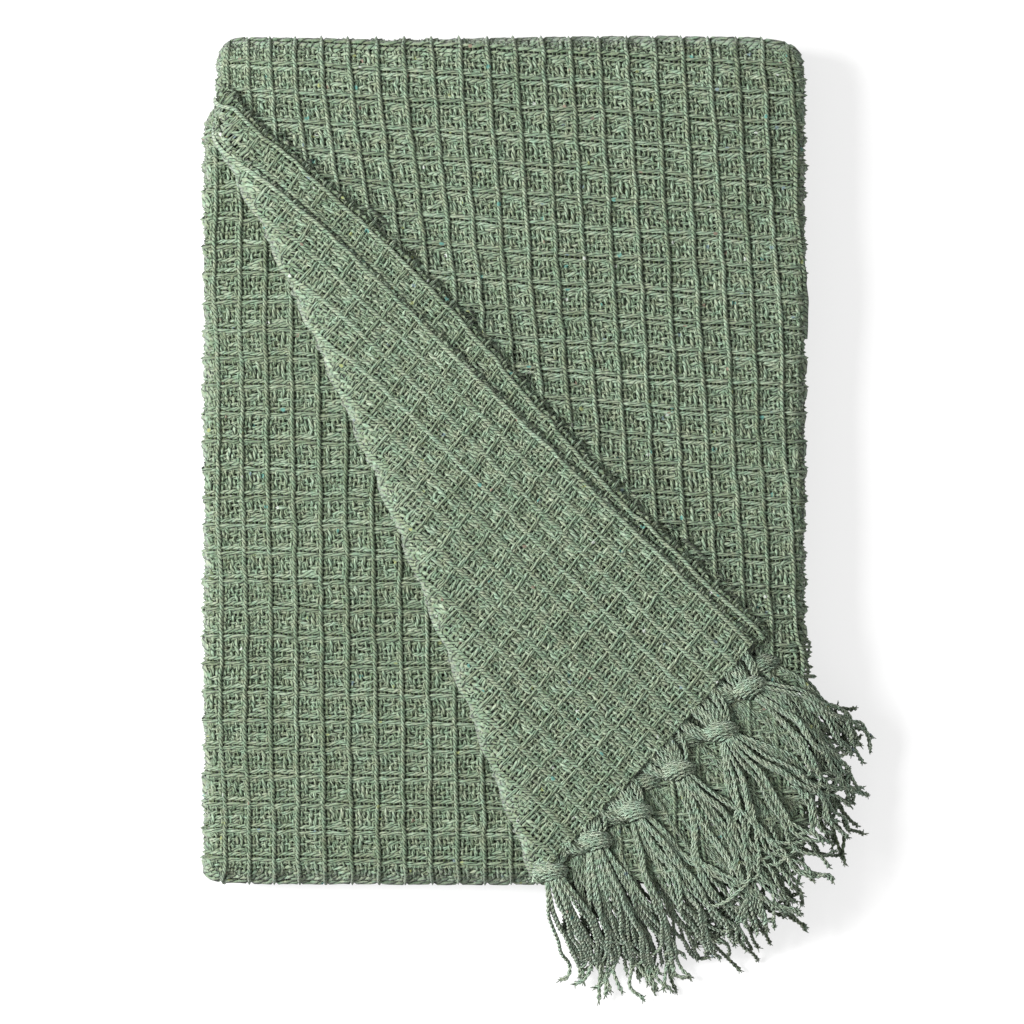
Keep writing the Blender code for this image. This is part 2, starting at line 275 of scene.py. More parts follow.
    def settle(self, points: Array, flap: bool | Array) -> Array:
        """Give points of the folded cloth the pile's soft, uneven outline and crown.

        Side edges draw in at top and base and wave along their length, the upper left shoulder
        steps in, corners are eased, the pile widens about its middle, and heights are scaled by
        the crown.

        Args:
            points: places on the folded cloth.
            flap: whether they are on the flap, whose shoulder steps in a little lower.

        Returns:
            The settled places.
        """
        px, py, z = points[..., 0], points[..., 1], points[..., 2]
        x, y = px.copy(), py.copy()
        low_side = self.height - self.pass_pitch
        for edge, sign, height in ((self.left, 1.0, low_side), (self.right, -1.0, self.height)):
            near = np.maximum(0.0, 1.0 - sign * (px - edge) / self.shoulder_fade) ** 2
            bulge = np.minimum(1.0, np.abs(2.0 * z / height - 1.0)) ** 3
            wave = np.sin(2.0 * math.pi * (py / self.wobble_length + 40.0 * z) + sign)
            x += sign * near * (self.pillow * bulge + self.wobble * (1.0 + wave))
        near = np.maximum(0.0, 1.0 - (px - self.left) / self.shoulder_fade) ** 2
        flap_step = smoothstep(py, self.top - 0.060, self.top - 0.030)
        pile_step = smoothstep(py, self.top - 0.045, self.top - 0.033)
        x += near * self.shoulder * np.where(flap, flap_step, pile_step)
        for corner in self.corners:
            sign_x = 1.0 if corner.x < self.left + self.width / 2 else -1.0
            sign_y = 1.0 if corner.y < self.bottom + self.length / 2 else -1.0
            p = np.maximum(0.0, 1.0 - sign_x * (px - corner.x) / corner.zone)
            q = np.maximum(0.0, 1.0 - sign_y * (py - corner.y) / corner.zone)
            pull = corner.depth * np.minimum(1.2, p * q) ** 4
            x += sign_x * pull
            y += sign_y * pull
        middle = self.left + self.width / 2
        x = middle + (x - middle) * self.spread
        return np.stack([x, y, z * self.crown(px, py)], axis=-1)

    def soften(self, points: Array, flap: bool) -> Array:
        """Bow the flap, then settle the points.

        Args:
            points: places on the folded cloth.
            flap: whether they are on the flap.

        Returns:
            The places after both.
        """
        if flap:
            shift = self.bow(points)[..., None] * self.across
            points = np.concatenate([points[..., :2] + shift, points[..., 2:]], axis=-1)
        return self.settle(points, flap)


class Side(Enum):
    """Which way a face of the cloth looks before its corner is turned over."""

    UP = 1.0
    DOWN = -1.0


class Roll(Enum):
    """Which way a ply goes round the diagonal: not at all, or with the inner or outer plies."""

    NONE = auto()
    INNER = auto()
    OUTER = auto()


@dataclass
class ClothFace:
    """One visible face of the folded cloth, as a chart from cloth distances to places.

    u runs from the left fold across the width, and v along the length as the place in y of the
    flat part. Below u = 0 the face goes round the left side fold. Past the turn it goes round
    the turn between two passes. A mirrored face starts at the right side fold instead.

    Args:
        pile: the folded shape.
        run: which pass the face is on, from 0 at the bottom.
        pair: 0 for the lower pair of plies in the pass, 1 for the upper pair, and 0.5 for the
            middle pair, which is joined at the right.
        side: which way the face looks.
        turn_low: whether it goes round the turn at the lower edge, or else the upper one.
        roll: how its ply rolls at the diagonal.
        mirrored: whether it starts at the right side.
        hem: radius at which its far edge bends down over the stack's side, or 0 for none.
    """

    pile: FoldedPile
    run: int
    pair: float
    side: Side
    turn_low: bool
    roll: Roll = Roll.NONE
    mirrored: bool = False
    hem: float = 0.0

    @property
    def far(self) -> float:
        """Distance u at which the far edge starts to bend down."""
        return self.pile.width - self.pile.fold_reach - self.hem

    def place(self, u: Array, v: Array, lift: Array) -> Array:
        """Places of cloth points at a lift above the face, along its own normal.

        A side fold and a turn are arcs, on which the angle is the distance past their start over
        their radius, and the lift adds to the radius.

        Args:
            u, v: distances across and along the cloth.
            lift: height above the face.

        Returns:
            The places, after the corner is turned over and the pile has settled.
        """
        pile = self.pile
        base = self.run * pile.pass_pitch
        centre = pile.fold_reach + self.pair * 2.0 * pile.pitch
        radius = pile.fold_reach + lift
        turn = np.minimum(math.pi, np.maximum(0.0, -u) / pile.fold_reach)
        across = pile.fold_reach + np.maximum(0.0, u) - radius * np.sin(turn)
        height = centre + self.side.value * radius * np.cos(turn)
        if self.hem:
            bend = np.clip((u - self.far) / self.hem, 0.0, math.pi / 2)
            past = pile.fold_reach + self.far + (self.hem + lift) * np.sin(bend)
            across = np.where(bend > 0.0, past, across)
            height = height - (self.hem + lift) * (1.0 - np.cos(bend))
        x = pile.right - across if self.mirrored else pile.left + across
        beyond = pile.lower - v if self.turn_low else v - pile.upper
        sign = -1.0 if self.turn_low else 1.0
        angle = np.maximum(0.0, beyond) / pile.turn_reach
        reach = pile.turn_radius + height - pile.stack / 2
        flat_y = np.maximum(v, pile.lower) if self.turn_low else np.minimum(v, pile.upper)
        y = flat_y + sign * reach * np.sin(angle)
        level = base + pile.stack / 2 - pile.turn_radius
        z = level + reach * np.cos(angle)
        points = np.stack(np.broadcast_arrays(x, y, z), axis=-1)
        if self.roll is Roll.NONE:
            return pile.soften(points, self.run == pile.passes - 1)
        flat = points[..., 1] < pile.upper
        roll = pile.outer_roll
        if self.roll is Roll.INNER:
            roll = pile.ridge_roll(pile.diagonal_place(points)[0])
        turned = np.where(flat[..., None], pile.turn_over(points, roll), points)
        return pile.soften(turned, True)


# ---- mesh building -------------------------------------------------------------------------------

def link_mesh(name: str, mesh: Mesh, material: Material) -> Item:
    """Link a finished mesh as an object at the origin with one material.

    Args:
        name: the object's name.
        mesh: its mesh.
        material: its finish.

    Returns:
        The object.
    """
    mesh.materials.append(material)
    item = bpy.data.objects.new(name, mesh)
    bpy.context.scene.collection.objects.link(item)
    return item


def grid_quads(number: Array) -> Array:
    """Quads over a grid of vertex numbers: each joins four neighbours."""
    corners = (number[:-1, :-1], number[:-1, 1:], number[1:, 1:], number[1:, :-1])
    return np.stack(corners, axis=-1).reshape(-1, 4)


@dataclass
class MeshArrays:
    """A mesh as whole arrays, with a UV pair at each face corner and a shade at each vertex.

    Args:
        verts: places, one row each.
        quads: four vertex numbers a row.
        tris: three vertex numbers a row.
        quad_uv: a UV pair for each corner of each quad.
        tone: a shade value for each vertex, with painted light and shade as well as random tone; 0
            leaves the yarn's own colour.
    """

    verts: Array
    quads: Array
    tris: Array
    quad_uv: Array
    tone: Array

    @staticmethod
    def joined(parts: list["MeshArrays"]) -> "MeshArrays":
        """Several meshes as one: each one's vertex numbers move up by those before it.

        Args:
            parts: the meshes.

        Returns:
            The one mesh.
        """
        starts = np.cumsum([0] + [len(part.verts) for part in parts[:-1]])
        return MeshArrays(
            np.concatenate([part.verts for part in parts]),
            np.concatenate([part.quads + start for part, start in zip(parts, starts)]),
            np.concatenate([part.tris + start for part, start in zip(parts, starts)]),
            np.concatenate([part.quad_uv.reshape(-1, 2) for part in parts]),
            np.concatenate([part.tone for part in parts]))

    def mesh(self, name: str) -> Mesh:
        """The arrays as a smooth mesh with a UV map "yarn" and a point attribute "tone".

        The triangles only close the ends of yarns, so their UV pairs are 0.

        Args:
            name: the mesh's name.

        Returns:
            The mesh, checked for faults.
        """
        mesh = bpy.data.meshes.new(name)
        quads, tris = len(self.quads), len(self.tris)
        corners = np.concatenate([self.quads.ravel(), self.tris.ravel()]).astype(np.int32)
        starts = np.concatenate([np.arange(quads) * 4, quads * 4 + np.arange(tris) * 3])
        mesh.vertices.add(len(self.verts))
        mesh.vertices.foreach_set("co", self.verts.astype(np.float32).ravel())
        mesh.loops.add(len(corners))
        mesh.loops.foreach_set("vertex_index", corners)
        mesh.polygons.add(len(starts))
        mesh.polygons.foreach_set("loop_start", starts.astype(np.int32))
        mesh.update(calc_edges=True)
        mesh.polygons.foreach_set("use_smooth", np.ones(len(starts), bool))
        layer = mesh.uv_layers.new(name="yarn")
        pairs = np.concatenate([self.quad_uv.reshape(-1, 2), np.zeros((tris * 3, 2))])
        layer.data.foreach_set("uv", pairs.astype(np.float32).ravel())
        shade = mesh.attributes.new("tone", "FLOAT", "POINT")
        shade.data.foreach_set("value", self.tone.astype(np.float32))
        mesh.validate()
        return mesh


@dataclass
class TubeSet:
    """Many tubes side by side, each a row of centre points, made into one mesh.

    Args:
        centre: places, shaped (tubes, points, 3).
        up: the direction that each tube's first ring corner faces, same shape.
        keep: which points are there; a tube is cut into the runs that are kept.
        width: half width of the section, per point.
        height: half height of the section, per point.
        tone: shade value per point.
        along: distance along the tube per point, for the twist.
        sides: corners of the section.
        lies_flat: whether the side that lies on the cloth is left open, with no end fans.
    """

    centre: Array
    up: Array
    keep: Array
    width: Array
    height: Array
    tone: Array
    along: Array
    sides: int = 3
    lies_flat: bool = False

    def rings(self) -> Array:
        """Section corners: centre plus half width sideways and half height upwards, in an ellipse.

        Returns:
            The corners, shaped (tubes, points, sides, 3).
        """
        tangent = unit(np.gradient(self.centre, axis=1))
        sideways = unit(np.cross(self.up, tangent))
        upward = np.cross(tangent, sideways)
        turns = math.pi / 2 - 2.0 * math.pi * np.arange(self.sides) / self.sides
        cos, sin = np.cos(turns), np.sin(turns)
        return (self.centre[:, :, None, :]
                + (self.width[:, :, None] * cos)[..., None] * sideways[:, :, None, :]
                + (self.height[:, :, None] * sin)[..., None] * upward[:, :, None, :])

    def arrays(self) -> MeshArrays:
        """Closed tubes over the kept runs: quads between rings, and a fan over each end.

        Returns:
            The tubes as one mesh.
        """
        tubes, points = self.keep.shape
        sides = self.sides
        link = self.keep[:, :-1] & self.keep[:, 1:]
        before = np.zeros_like(self.keep)
        before[:, 1:] = link
        ahead = np.zeros_like(self.keep)
        ahead[:, :-1] = link
        used = before | ahead
        number = np.full((tubes, points), -1)
        number[used] = np.arange(used.sum())
        verts = self.rings()[used].reshape(-1, 3)
        row, col = np.nonzero(link)
        low, high = number[row, col] * sides, number[row, col + 1] * sides
        k = np.array([0, sides - 1]) if self.lies_flat else np.arange(sides)
        after = (k + 1) % sides
        quads = np.stack([
            low[:, None] + k, high[:, None] + k, high[:, None] + after, low[:, None] + after],
            axis=-1).reshape(-1, 4)
        uv = np.empty((len(row), len(k), 4, 2))
        uv[:, :, 0, 0] = uv[:, :, 3, 0] = self.along[row, col][:, None]
        uv[:, :, 1, 0] = uv[:, :, 2, 0] = self.along[row, col + 1][:, None]
        uv[:, :, 0, 1] = uv[:, :, 1, 1] = k / sides
        uv[:, :, 2, 1] = uv[:, :, 3, 1] = (k + 1) / sides
        first = number[ahead & ~before] * sides
        last = number[before & ~ahead] * sides
        fan = np.stack([np.zeros(sides - 2, int), np.arange(1, sides - 1), np.arange(2, sides)], -1)
        tris = np.concatenate([
            (first[:, None, None] + fan[None]).reshape(-1, 3),
            (last[:, None, None] + fan[None, :, ::-1]).reshape(-1, 3)])
        tris = tris[:0] if self.lies_flat else tris
        return MeshArrays(verts, quads, tris, uv, np.repeat(self.tone[used], sides))


def dress(item: Item) -> Item:
    """Let a piece ride on the blanket's one body.

    Args:
        item: the piece.

    Returns:
        The piece.
    """
    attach(item, "root")
    return item


# ---- finishes ------------------------------------------------------------------------------------

class NodeMaker:
    """Short names for adding and joining nodes in one material's tree."""

    def __init__(self, name: str) -> None:
        """Start a material with an empty tree and an output.

        Args:
            name: the material's name.
        """
        self.material = bpy.data.materials.new(name)
        self.material.use_nodes = True
        self.tree = self.material.node_tree
        self.tree.nodes.clear()
        self.output = self.tree.nodes.new("ShaderNodeOutputMaterial")

    def add(self, kind: str, inputs: dict[str, object] | None = None,
            **settings: object) -> bpy.types.Node:
        """A new node.

        Args:
            kind: Blender's name for its type.
            inputs: what feeds its sockets, by their names.
            settings: properties to set on it.

        Returns:
            The node.
        """
        node = self.tree.nodes.new(kind)
        for key, value in settings.items():
            setattr(node, key, value)
        for key, value in (inputs or {}).items():
            self.fill(node.inputs[key], value)
        return node

    def fill(self, socket: Socket, value: object) -> None:
        """Feed a socket.

        Args:
            socket: the socket to feed.
            value: another socket to link to it, or a number or colour to set.
        """
        if isinstance(value, Socket):
            self.tree.links.new(value, socket)
        else:
            socket.default_value = value

    def math(self, operation: str, first: object, second: object = 0.0,
             third: object = 0.0) -> Socket:
        """A math node.

        Args:
            operation: what it works out.
            first, second, third: sockets or numbers.

        Returns:
            Its value.
        """
        node = self.add("ShaderNodeMath", operation=operation)
        for socket, value in zip(node.inputs, (first, second, third)):
            self.fill(socket, value)
        return node.outputs[0]

    def noise(self, vector: Socket, scale: float, detail: float = 2.0,
              roughness: float = 0.5) -> Socket:
        """A noise texture.

        Args:
            vector: where it is read.
            scale: features per metre.
            detail, roughness: octaves of finer noise, and how strong they are.

        Returns:
            Its factor.
        """
        node = self.add("ShaderNodeTexNoise", {"Vector": vector, "Scale": scale, "Detail": detail,
                                               "Roughness": roughness})
        return node.outputs["Fac"]

    def ramp(self, factor: Socket, stops: tuple[tuple[float, Colour], ...]) -> Socket:
        """A colour ramp.

        Args:
            factor: where it is read.
            stops: a place from 0 to 1 and a colour for each stop.

        Returns:
            Its colour.
        """
        node = self.add("ShaderNodeValToRGB", {"Fac": factor})
        band = node.color_ramp
        while len(band.elements) < len(stops):
            band.elements.new(0.5)
        for element, (place, colour) in zip(band.elements, stops):
            element.position = place
            element.color = colour
        return node.outputs["Color"]

    def mix(self, factor: object, first: object, second: object, blend: str = "MIX") -> Socket:
        """A colour mix.

        Args:
            factor: share of the second colour.
            first, second: sockets or colours.
            blend: how the second is laid over the first.

        Returns:
            The mixed colour.
        """
        node = self.add("ShaderNodeMix", data_type="RGBA", blend_type=blend)
        for number, value in ((0, factor), (6, first), (7, second)):
            self.fill(node.inputs[number], value)
        return node.outputs[2]

    def cloth(self, cotton: "SageCotton", colour: Socket, height: Socket, strength: float,
              depth: float) -> Material:
        """Finish a cotton material: matte, with a soft sheen and a bump.

        Args:
            cotton: the cotton's roughness and sheen.
            colour, height: sources of the surface's colour and of its bump.
            strength, depth: strength of the bump, and how deep it is in metres.

        Returns:
            The material.
        """
        bump = self.add("ShaderNodeBump", {"Strength": strength, "Distance": depth,
                                           "Height": height})
        return self.finish({
            "Base Color": colour, "Roughness": cotton.roughness, "Normal": bump.outputs[0],
            "Sheen Weight": cotton.sheen, "Sheen Roughness": cotton.sheen_roughness,
            "Specular IOR Level": cotton.specular})

    def finish(self, inputs: dict[str, object]) -> Material:
        """Finish the material with a Principled shader.

        Args:
            inputs: what feeds its sockets, by their names.

        Returns:
            The material.
        """
        shader = self.add("ShaderNodeBsdfPrincipled", inputs)
        self.fill(self.output.inputs["Surface"], shader.outputs[0])
        return self.material


@dataclass(frozen=True)
class SageCotton:
    """Dyed cotton in sage green, with a melange of near shades, small coloured neps and a twist.

    Args:
        base, pale, deep: the main colour, and the lighter and darker shades of its fibres.
        cool, warm, drift_share: gains that drift over the yarns in soft patches, and how strongly.
        melange_scale, drift_scale, wander_scale, fibre_scale: features per metre of the melange,
            the drift, the twist's wander and the fibres.
        twist_pitch, twist_plies, twist_wander: length of a full twist along the yarn, its plies,
            and how much its stripes wander.
        groove_shade: gain in the grooves between the plies, a painted shade.
        tone_reach: how far the shade value of a yarn moves its red, green and blue.
        smooth: share of the painted groove shade's strength on the palest yarns.
        twist_relief, fibre_relief: height of the twist and of the fibres in the bump.
        bump, bump_depth: strength and depth of the bump.
        roughness, sheen, sheen_roughness, specular: the surface's gloss.
        neps: colour, cells per metre and size in cells of each kind of coloured fleck.
    """

    base: Colour = (0.188, 0.243, 0.160, 1.0)
    pale: Colour = (0.272, 0.340, 0.238, 1.0)
    deep: Colour = (0.108, 0.160, 0.090, 1.0)
    cool: Colour = (0.78, 1.0, 0.98, 1.0)
    warm: Colour = (1.16, 1.02, 0.97, 1.0)
    drift_share: float = 0.65
    melange_scale: float = 420.0
    drift_scale: float = 230.0
    wander_scale: float = 310.0
    fibre_scale: float = 1900.0
    twist_pitch: float = 0.0080
    twist_plies: float = 2.0
    twist_wander: float = 0.4
    groove_shade: Colour = (0.02, 0.04, 0.018, 1.0)
    tone_reach: tuple[float, float, float] = (0.37, 0.34, 0.44)
    smooth: float = 0.80
    twist_relief: float = 0.7
    fibre_relief: float = 0.6
    bump: float = 0.9
    bump_depth: float = 0.0006
    roughness: float = 0.93
    sheen: float = 0.25
    sheen_roughness: float = 0.6
    specular: float = 0.18
    neps: tuple[tuple[Colour, float, float], ...] = (
        ((0.085, 0.235, 0.195, 1.0), 47.0, 0.062),      # teal
        ((0.420, 0.450, 0.410, 1.0), 49.0, 0.052),      # undyed
        ((0.240, 0.280, 0.110, 1.0), 53.0, 0.060),      # yellow green
        ((0.215, 0.165, 0.120, 1.0), 43.0, 0.050),      # rust
        ((0.150, 0.215, 0.225, 1.0), 45.0, 0.052),      # slate blue
    )

    def material(self, name: str) -> Material:
        """Build the material: melange colour, twist stripes, neps, fibre bump, soft sheen.

        Args:
            name: the material's name.

        Returns:
            The material.
        """
        make = NodeMaker(name)
        place = make.add("ShaderNodeTexCoord").outputs["Object"]
        tone = make.add("ShaderNodeAttribute", attribute_name="tone").outputs["Fac"]
        twist = self.twist(make, place)
        fibre = make.noise(place, self.fibre_scale, 2.0, 0.6)
        relief = make.math("ADD", make.math("MULTIPLY", twist, self.twist_relief),
                           make.math("MULTIPLY", fibre, self.fibre_relief))
        colour = self.fibres(make, place)
        # the tone pales or darkens the colour by a gain per channel; it holds painted light and
        # shade as well as random tone
        gains = make.add("ShaderNodeCombineColor")
        for socket, reach in zip(gains.inputs, self.tone_reach):
            make.fill(socket, make.math("MULTIPLY_ADD", tone, reach, 1.0))
        colour = make.mix(1.0, colour, gains.outputs[0], "MULTIPLY")
        # painted shade: the colour is darkened in the grooves between the twisted plies, less on
        # the palest yarns
        groove_shade = make.ramp(twist, ((0.15, self.groove_shade), (0.65, WHITE)))
        strength = make.ramp(tone, ((0.55, WHITE), (1.0, (self.smooth,) * 3 + (1.0,))))
        colour = make.mix(strength, colour, groove_shade, "MULTIPLY")
        for shade, scale, size in self.neps:
            cells = make.add("ShaderNodeTexVoronoi", {"Vector": place, "Scale": scale},
                             feature="F1")
            speck = make.math("LESS_THAN", cells.outputs["Distance"], size)
            colour = make.mix(speck, colour, shade)
        return make.cloth(self, colour, relief, self.bump, self.bump_depth)

    def fibres(self, make: NodeMaker, place: Socket) -> Socket:
        """Colour of the mixed fibres: a fine melange times a soft drift from cool to warm.

        Args:
            make: the material's node maker.
            place: Object coordinates.

        Returns:
            The colour.
        """
        melange = make.noise(place, self.melange_scale, 3.0, 0.65)
        colour = make.ramp(melange, ((0.30, self.deep), (0.50, self.base), (0.72, self.pale)))
        drift = make.noise(place, self.drift_scale, 4.0, 0.6)
        gain = make.ramp(drift, ((0.35, self.cool), (0.65, self.warm)))
        return make.mix(self.drift_share, colour, gain, "MULTIPLY")

    def twist(self, make: NodeMaker, place: Socket) -> Socket:
        """The plies' relief: the sine of turns along the yarn less turns round it, unsigned.

        Args:
            make: the material's node maker.
            place: Object coordinates.

        Returns:
            The relief, from 0 in the grooves to 1.
        """
        uv = make.add("ShaderNodeUVMap", uv_map="yarn").outputs["UV"]
        parts = make.add("ShaderNodeSeparateXYZ", {"Vector": uv})
        turns = make.math("MULTIPLY", parts.outputs["X"], 1.0 / self.twist_pitch)
        wander = make.noise(place, self.wander_scale, 1.0)
        wander = make.math("MULTIPLY", wander, self.twist_wander)
        phase = make.math("ADD", make.math("SUBTRACT", turns, parts.outputs["Y"]), wander)
        wave = make.math("SINE", make.math("MULTIPLY", phase, self.twist_plies * math.pi))
        return make.math("ABSOLUTE", wave)


@dataclass(frozen=True)
class PaleFloor:
    """A plain pale matte floor that glows a little, so that shadows on it stay light."""

    colour: Colour = (0.30, 0.30, 0.30, 1.0)
    roughness: float = 0.8
    glow: float = 2.36

    def material(self) -> Material:
        """Build the floor's material."""
        return NodeMaker("pale_floor").finish({
            "Base Color": self.colour, "Roughness": self.roughness,
            "Emission Color": self.colour, "Emission Strength": self.glow})


# ---- woven yarns ---------------------------------------------------------------------------------

class Yarn(Enum):
    """The two systems of yarn in the cloth, by the word that their pieces' names end with."""

    WARP = "warp"
    WEFT = "weft"


@dataclass(frozen=True)
class Unevenness:
    """How far the yarns stray from an even lattice, in metres, shares or shade values.

    Args:
        drift_u, drift_v, stray_u, stray_v: stray over many cells, and from cell to cell.
        shake, loose_u, loose_v: stray of a crossing, and how much more it is in a pocket.
        depth, lift, thickness: share by which each of these varies.
        yarn_shade, drift_shade, spot_shade: shade that varies from yarn to yarn, along a yarn
            and at each crossing.
        start: range of the yarns' starts, so that their twists don't line up.
    """

    drift_u: float = 0.00055
    drift_v: float = 0.00060
    stray_u: float = 0.00072
    stray_v: float = 0.00066
    shake: float = 0.00010
    loose_u: float = 0.00050
    loose_v: float = 0.00054
    depth: float = 0.14
    lift: float = 0.25
    thickness: float = 0.11
    yarn_shade: float = 0.35
    drift_shade: float = 0.45
    spot_shade: float = 0.30
    start: float = 0.01


@dataclass(frozen=True)
class WaffleWeave:
    """The waffle draft and the relief that it takes when the cloth relaxes.

    Long floats stand up as ridges on every sixth end and pick, and the plain woven middle of
    each cell sinks between them.

    Args:
        end_spacing, pick_spacing, repeat: distances between the yarns, and yarns in one cell.
        depth, bowl, corner_share: depth of a pocket, power of the way down its walls, and share
            of the depth that its corners lack.
        end_lean: how far the pockets lean across the width.
        cross, warp_lift: rise of a yarn over another, and of the warp in a pocket's middle.
        warp_radius, weft_radius: half thickness of the yarns.
        slide, gap, slide_fade: shares of the spacing by which the yarns beside a ridge slide
            under it or stand off it, and the yarns over which that fades.
        swell: how much thicker a yarn is over another, and thinner under it.
        zigzag, mixed: sway of the plain woven ends, and share of crossings that are swapped.
        shade, dip_painted_shade, inner_painted_light, ridge_painted_shade: painted light and shade:
            how much paler a yarn is over another, darker under it, paler in a pocket's middle, and
            paler on a ridge; below 0 a ridge is painted darker.
        second_float: whether the pick beside a ridge also floats.
        ridge_twist, bar_twist: how much tighter the ridge ends and picks are twisted.
        warp_ridge_swell, ridge_swell: how much thicker they are; below 0 they are thinner.
    """

    end_spacing: float = 0.002373
    pick_spacing: float = 0.002527
    repeat: int = 6
    depth: float = 0.0024
    bowl: float = 0.80
    corner_share: float = 0.28
    end_lean: float = 0.35
    cross: float = 0.00065
    warp_radius: float = 0.00106
    weft_radius: float = 0.00100
    slide: float = 0.22
    gap: float = 0.16
    slide_fade: float = 1.1
    swell: float = 0.30
    zigzag: float = 0.00026
    mixed: float = 0.22
    warp_lift: float = 0.00012
    # painted light and shade: a yarn is painted paler over another, darker where it dips under, and
    # paler in a pocket's middle
    shade: float = 0.45
    dip_painted_shade: float = 1.5
    inner_painted_light: float = 0.10
    second_float: bool = True
    ridge_twist: float = 1.7
    bar_twist: float = 0.5
    warp_ridge_swell: float = -0.04
    ridge_swell: float = -0.12
    # painted shade that darkens the ridge yarns, which stand up into the light
    ridge_painted_shade: float = -0.50
    uneven: Unevenness = Unevenness()

    def ridge_distance(self, index: Array) -> Array:
        """Ends or picks from the nearest ridge, 0 on it and 3 at the pocket's middle."""
        step = np.mod(index, self.repeat)
        return np.minimum(step, self.repeat - step)

    def lean_distance(self, index: Array, lean: float) -> Array:
        """Ridge distance with the pocket's steeper wall moved towards one ridge.

        Args:
            index: numbers of ends or picks.
            lean: share of a yarn by which the wall moves. Above 0 it deepens the yarns just after
                each ridge, below 0 those just before it.

        Returns:
            The distance of each, in ends or picks.
        """
        step = np.mod(index, self.repeat).astype(float)
        even = np.minimum(step, self.repeat - step)
        half = self.repeat / 2
        steep = (step < half) if lean > 0 else (step > half)
        steeper = np.where(steep & (step > 0), np.minimum(half, even + 1.0), even)
        return even + abs(lean) * (steeper - even)

    def slid(self, index: Array, lean: float) -> Array:
        """Places of ends or picks in spacings.

        Those on one side of a ridge slide under it, and those on the side that the pockets lean
        to stand off it and leave a gap. The shift falls by e for each slide_fade yarns.

        Args:
            index: numbers of ends or picks.
            lean: which way the pockets lean.

        Returns:
            The place of each, in spacings.
        """
        step = np.mod(index, self.repeat)
        signed = np.where(step > self.repeat / 2, step - self.repeat, step)
        steep = signed > 0 if lean > 0 else signed < 0
        pull = np.where(steep, -self.gap, self.slide)
        pull = pull * np.sign(signed) * np.exp(-(np.abs(signed) - 1.0) / self.slide_fade)
        return index - np.where(signed == 0, 0.0, pull)

    def weft_on_face(self, end: Array, pick: Array, lean: float) -> Array:
        """True where the weft is on the face.

        It is along the ridge picks, in a shorter float on the next pick at the gap's side, and on
        every second crossing of the plain woven middle, but never over a ridge end.

        Args:
            end, pick: numbers of the warp end and the weft pick at each crossing.
            lean: which way the pockets lean.

        Returns:
            True or False for each crossing.
        """
        a = self.ridge_distance(end)
        b = self.ridge_distance(pick)
        second = (np.mod(pick, self.repeat) == (1 if lean > 0 else self.repeat - 1)) & (a >= 2)
        plain = np.mod(end + pick, 2) == 0
        return (a > 0) & ((b == 0) | (second & self.second_float) | (plain & (b > 0)))

    def relief(self, end: Array, pick: Array, lean: float) -> Array:
        """Height of the cloth at a crossing: an upside-down pyramid in each cell.

        It is the middle's depth times the way from the nearer ridge, as a share and to the power
        of bowl, and it is less where the other ridge is near too.

        Args:
            end, pick: numbers of the warp end and the weft pick at each crossing.
            lean: which way the pockets lean along the length.

        Returns:
            The height of each crossing, 0 on the ridges and below it elsewhere.
        """
        a = self.lean_distance(end, self.end_lean)
        b = self.lean_distance(pick, lean)
        near = np.minimum(a, b) / (self.repeat / 2)
        far = np.maximum(a, b) / (self.repeat / 2)
        return -self.depth * near ** self.bowl * (1.0 - self.corner_share * (1.0 - far))

    def ridge_share(self, own: Array, other: Array) -> Array:
        """How much a yarn lies on a ridge: 1 on the long float, less just beside it.

        Args:
            own: the yarn's number among its kind.
            other: number of the yarn that it crosses.

        Returns:
            The share at each crossing.
        """
        beside = np.clip(1.0 - self.ridge_distance(own) / 1.3, 0.0, 1.0)
        across = np.clip(self.ridge_distance(other) / 2.0, 0.35, 1.0)
        return beside * across


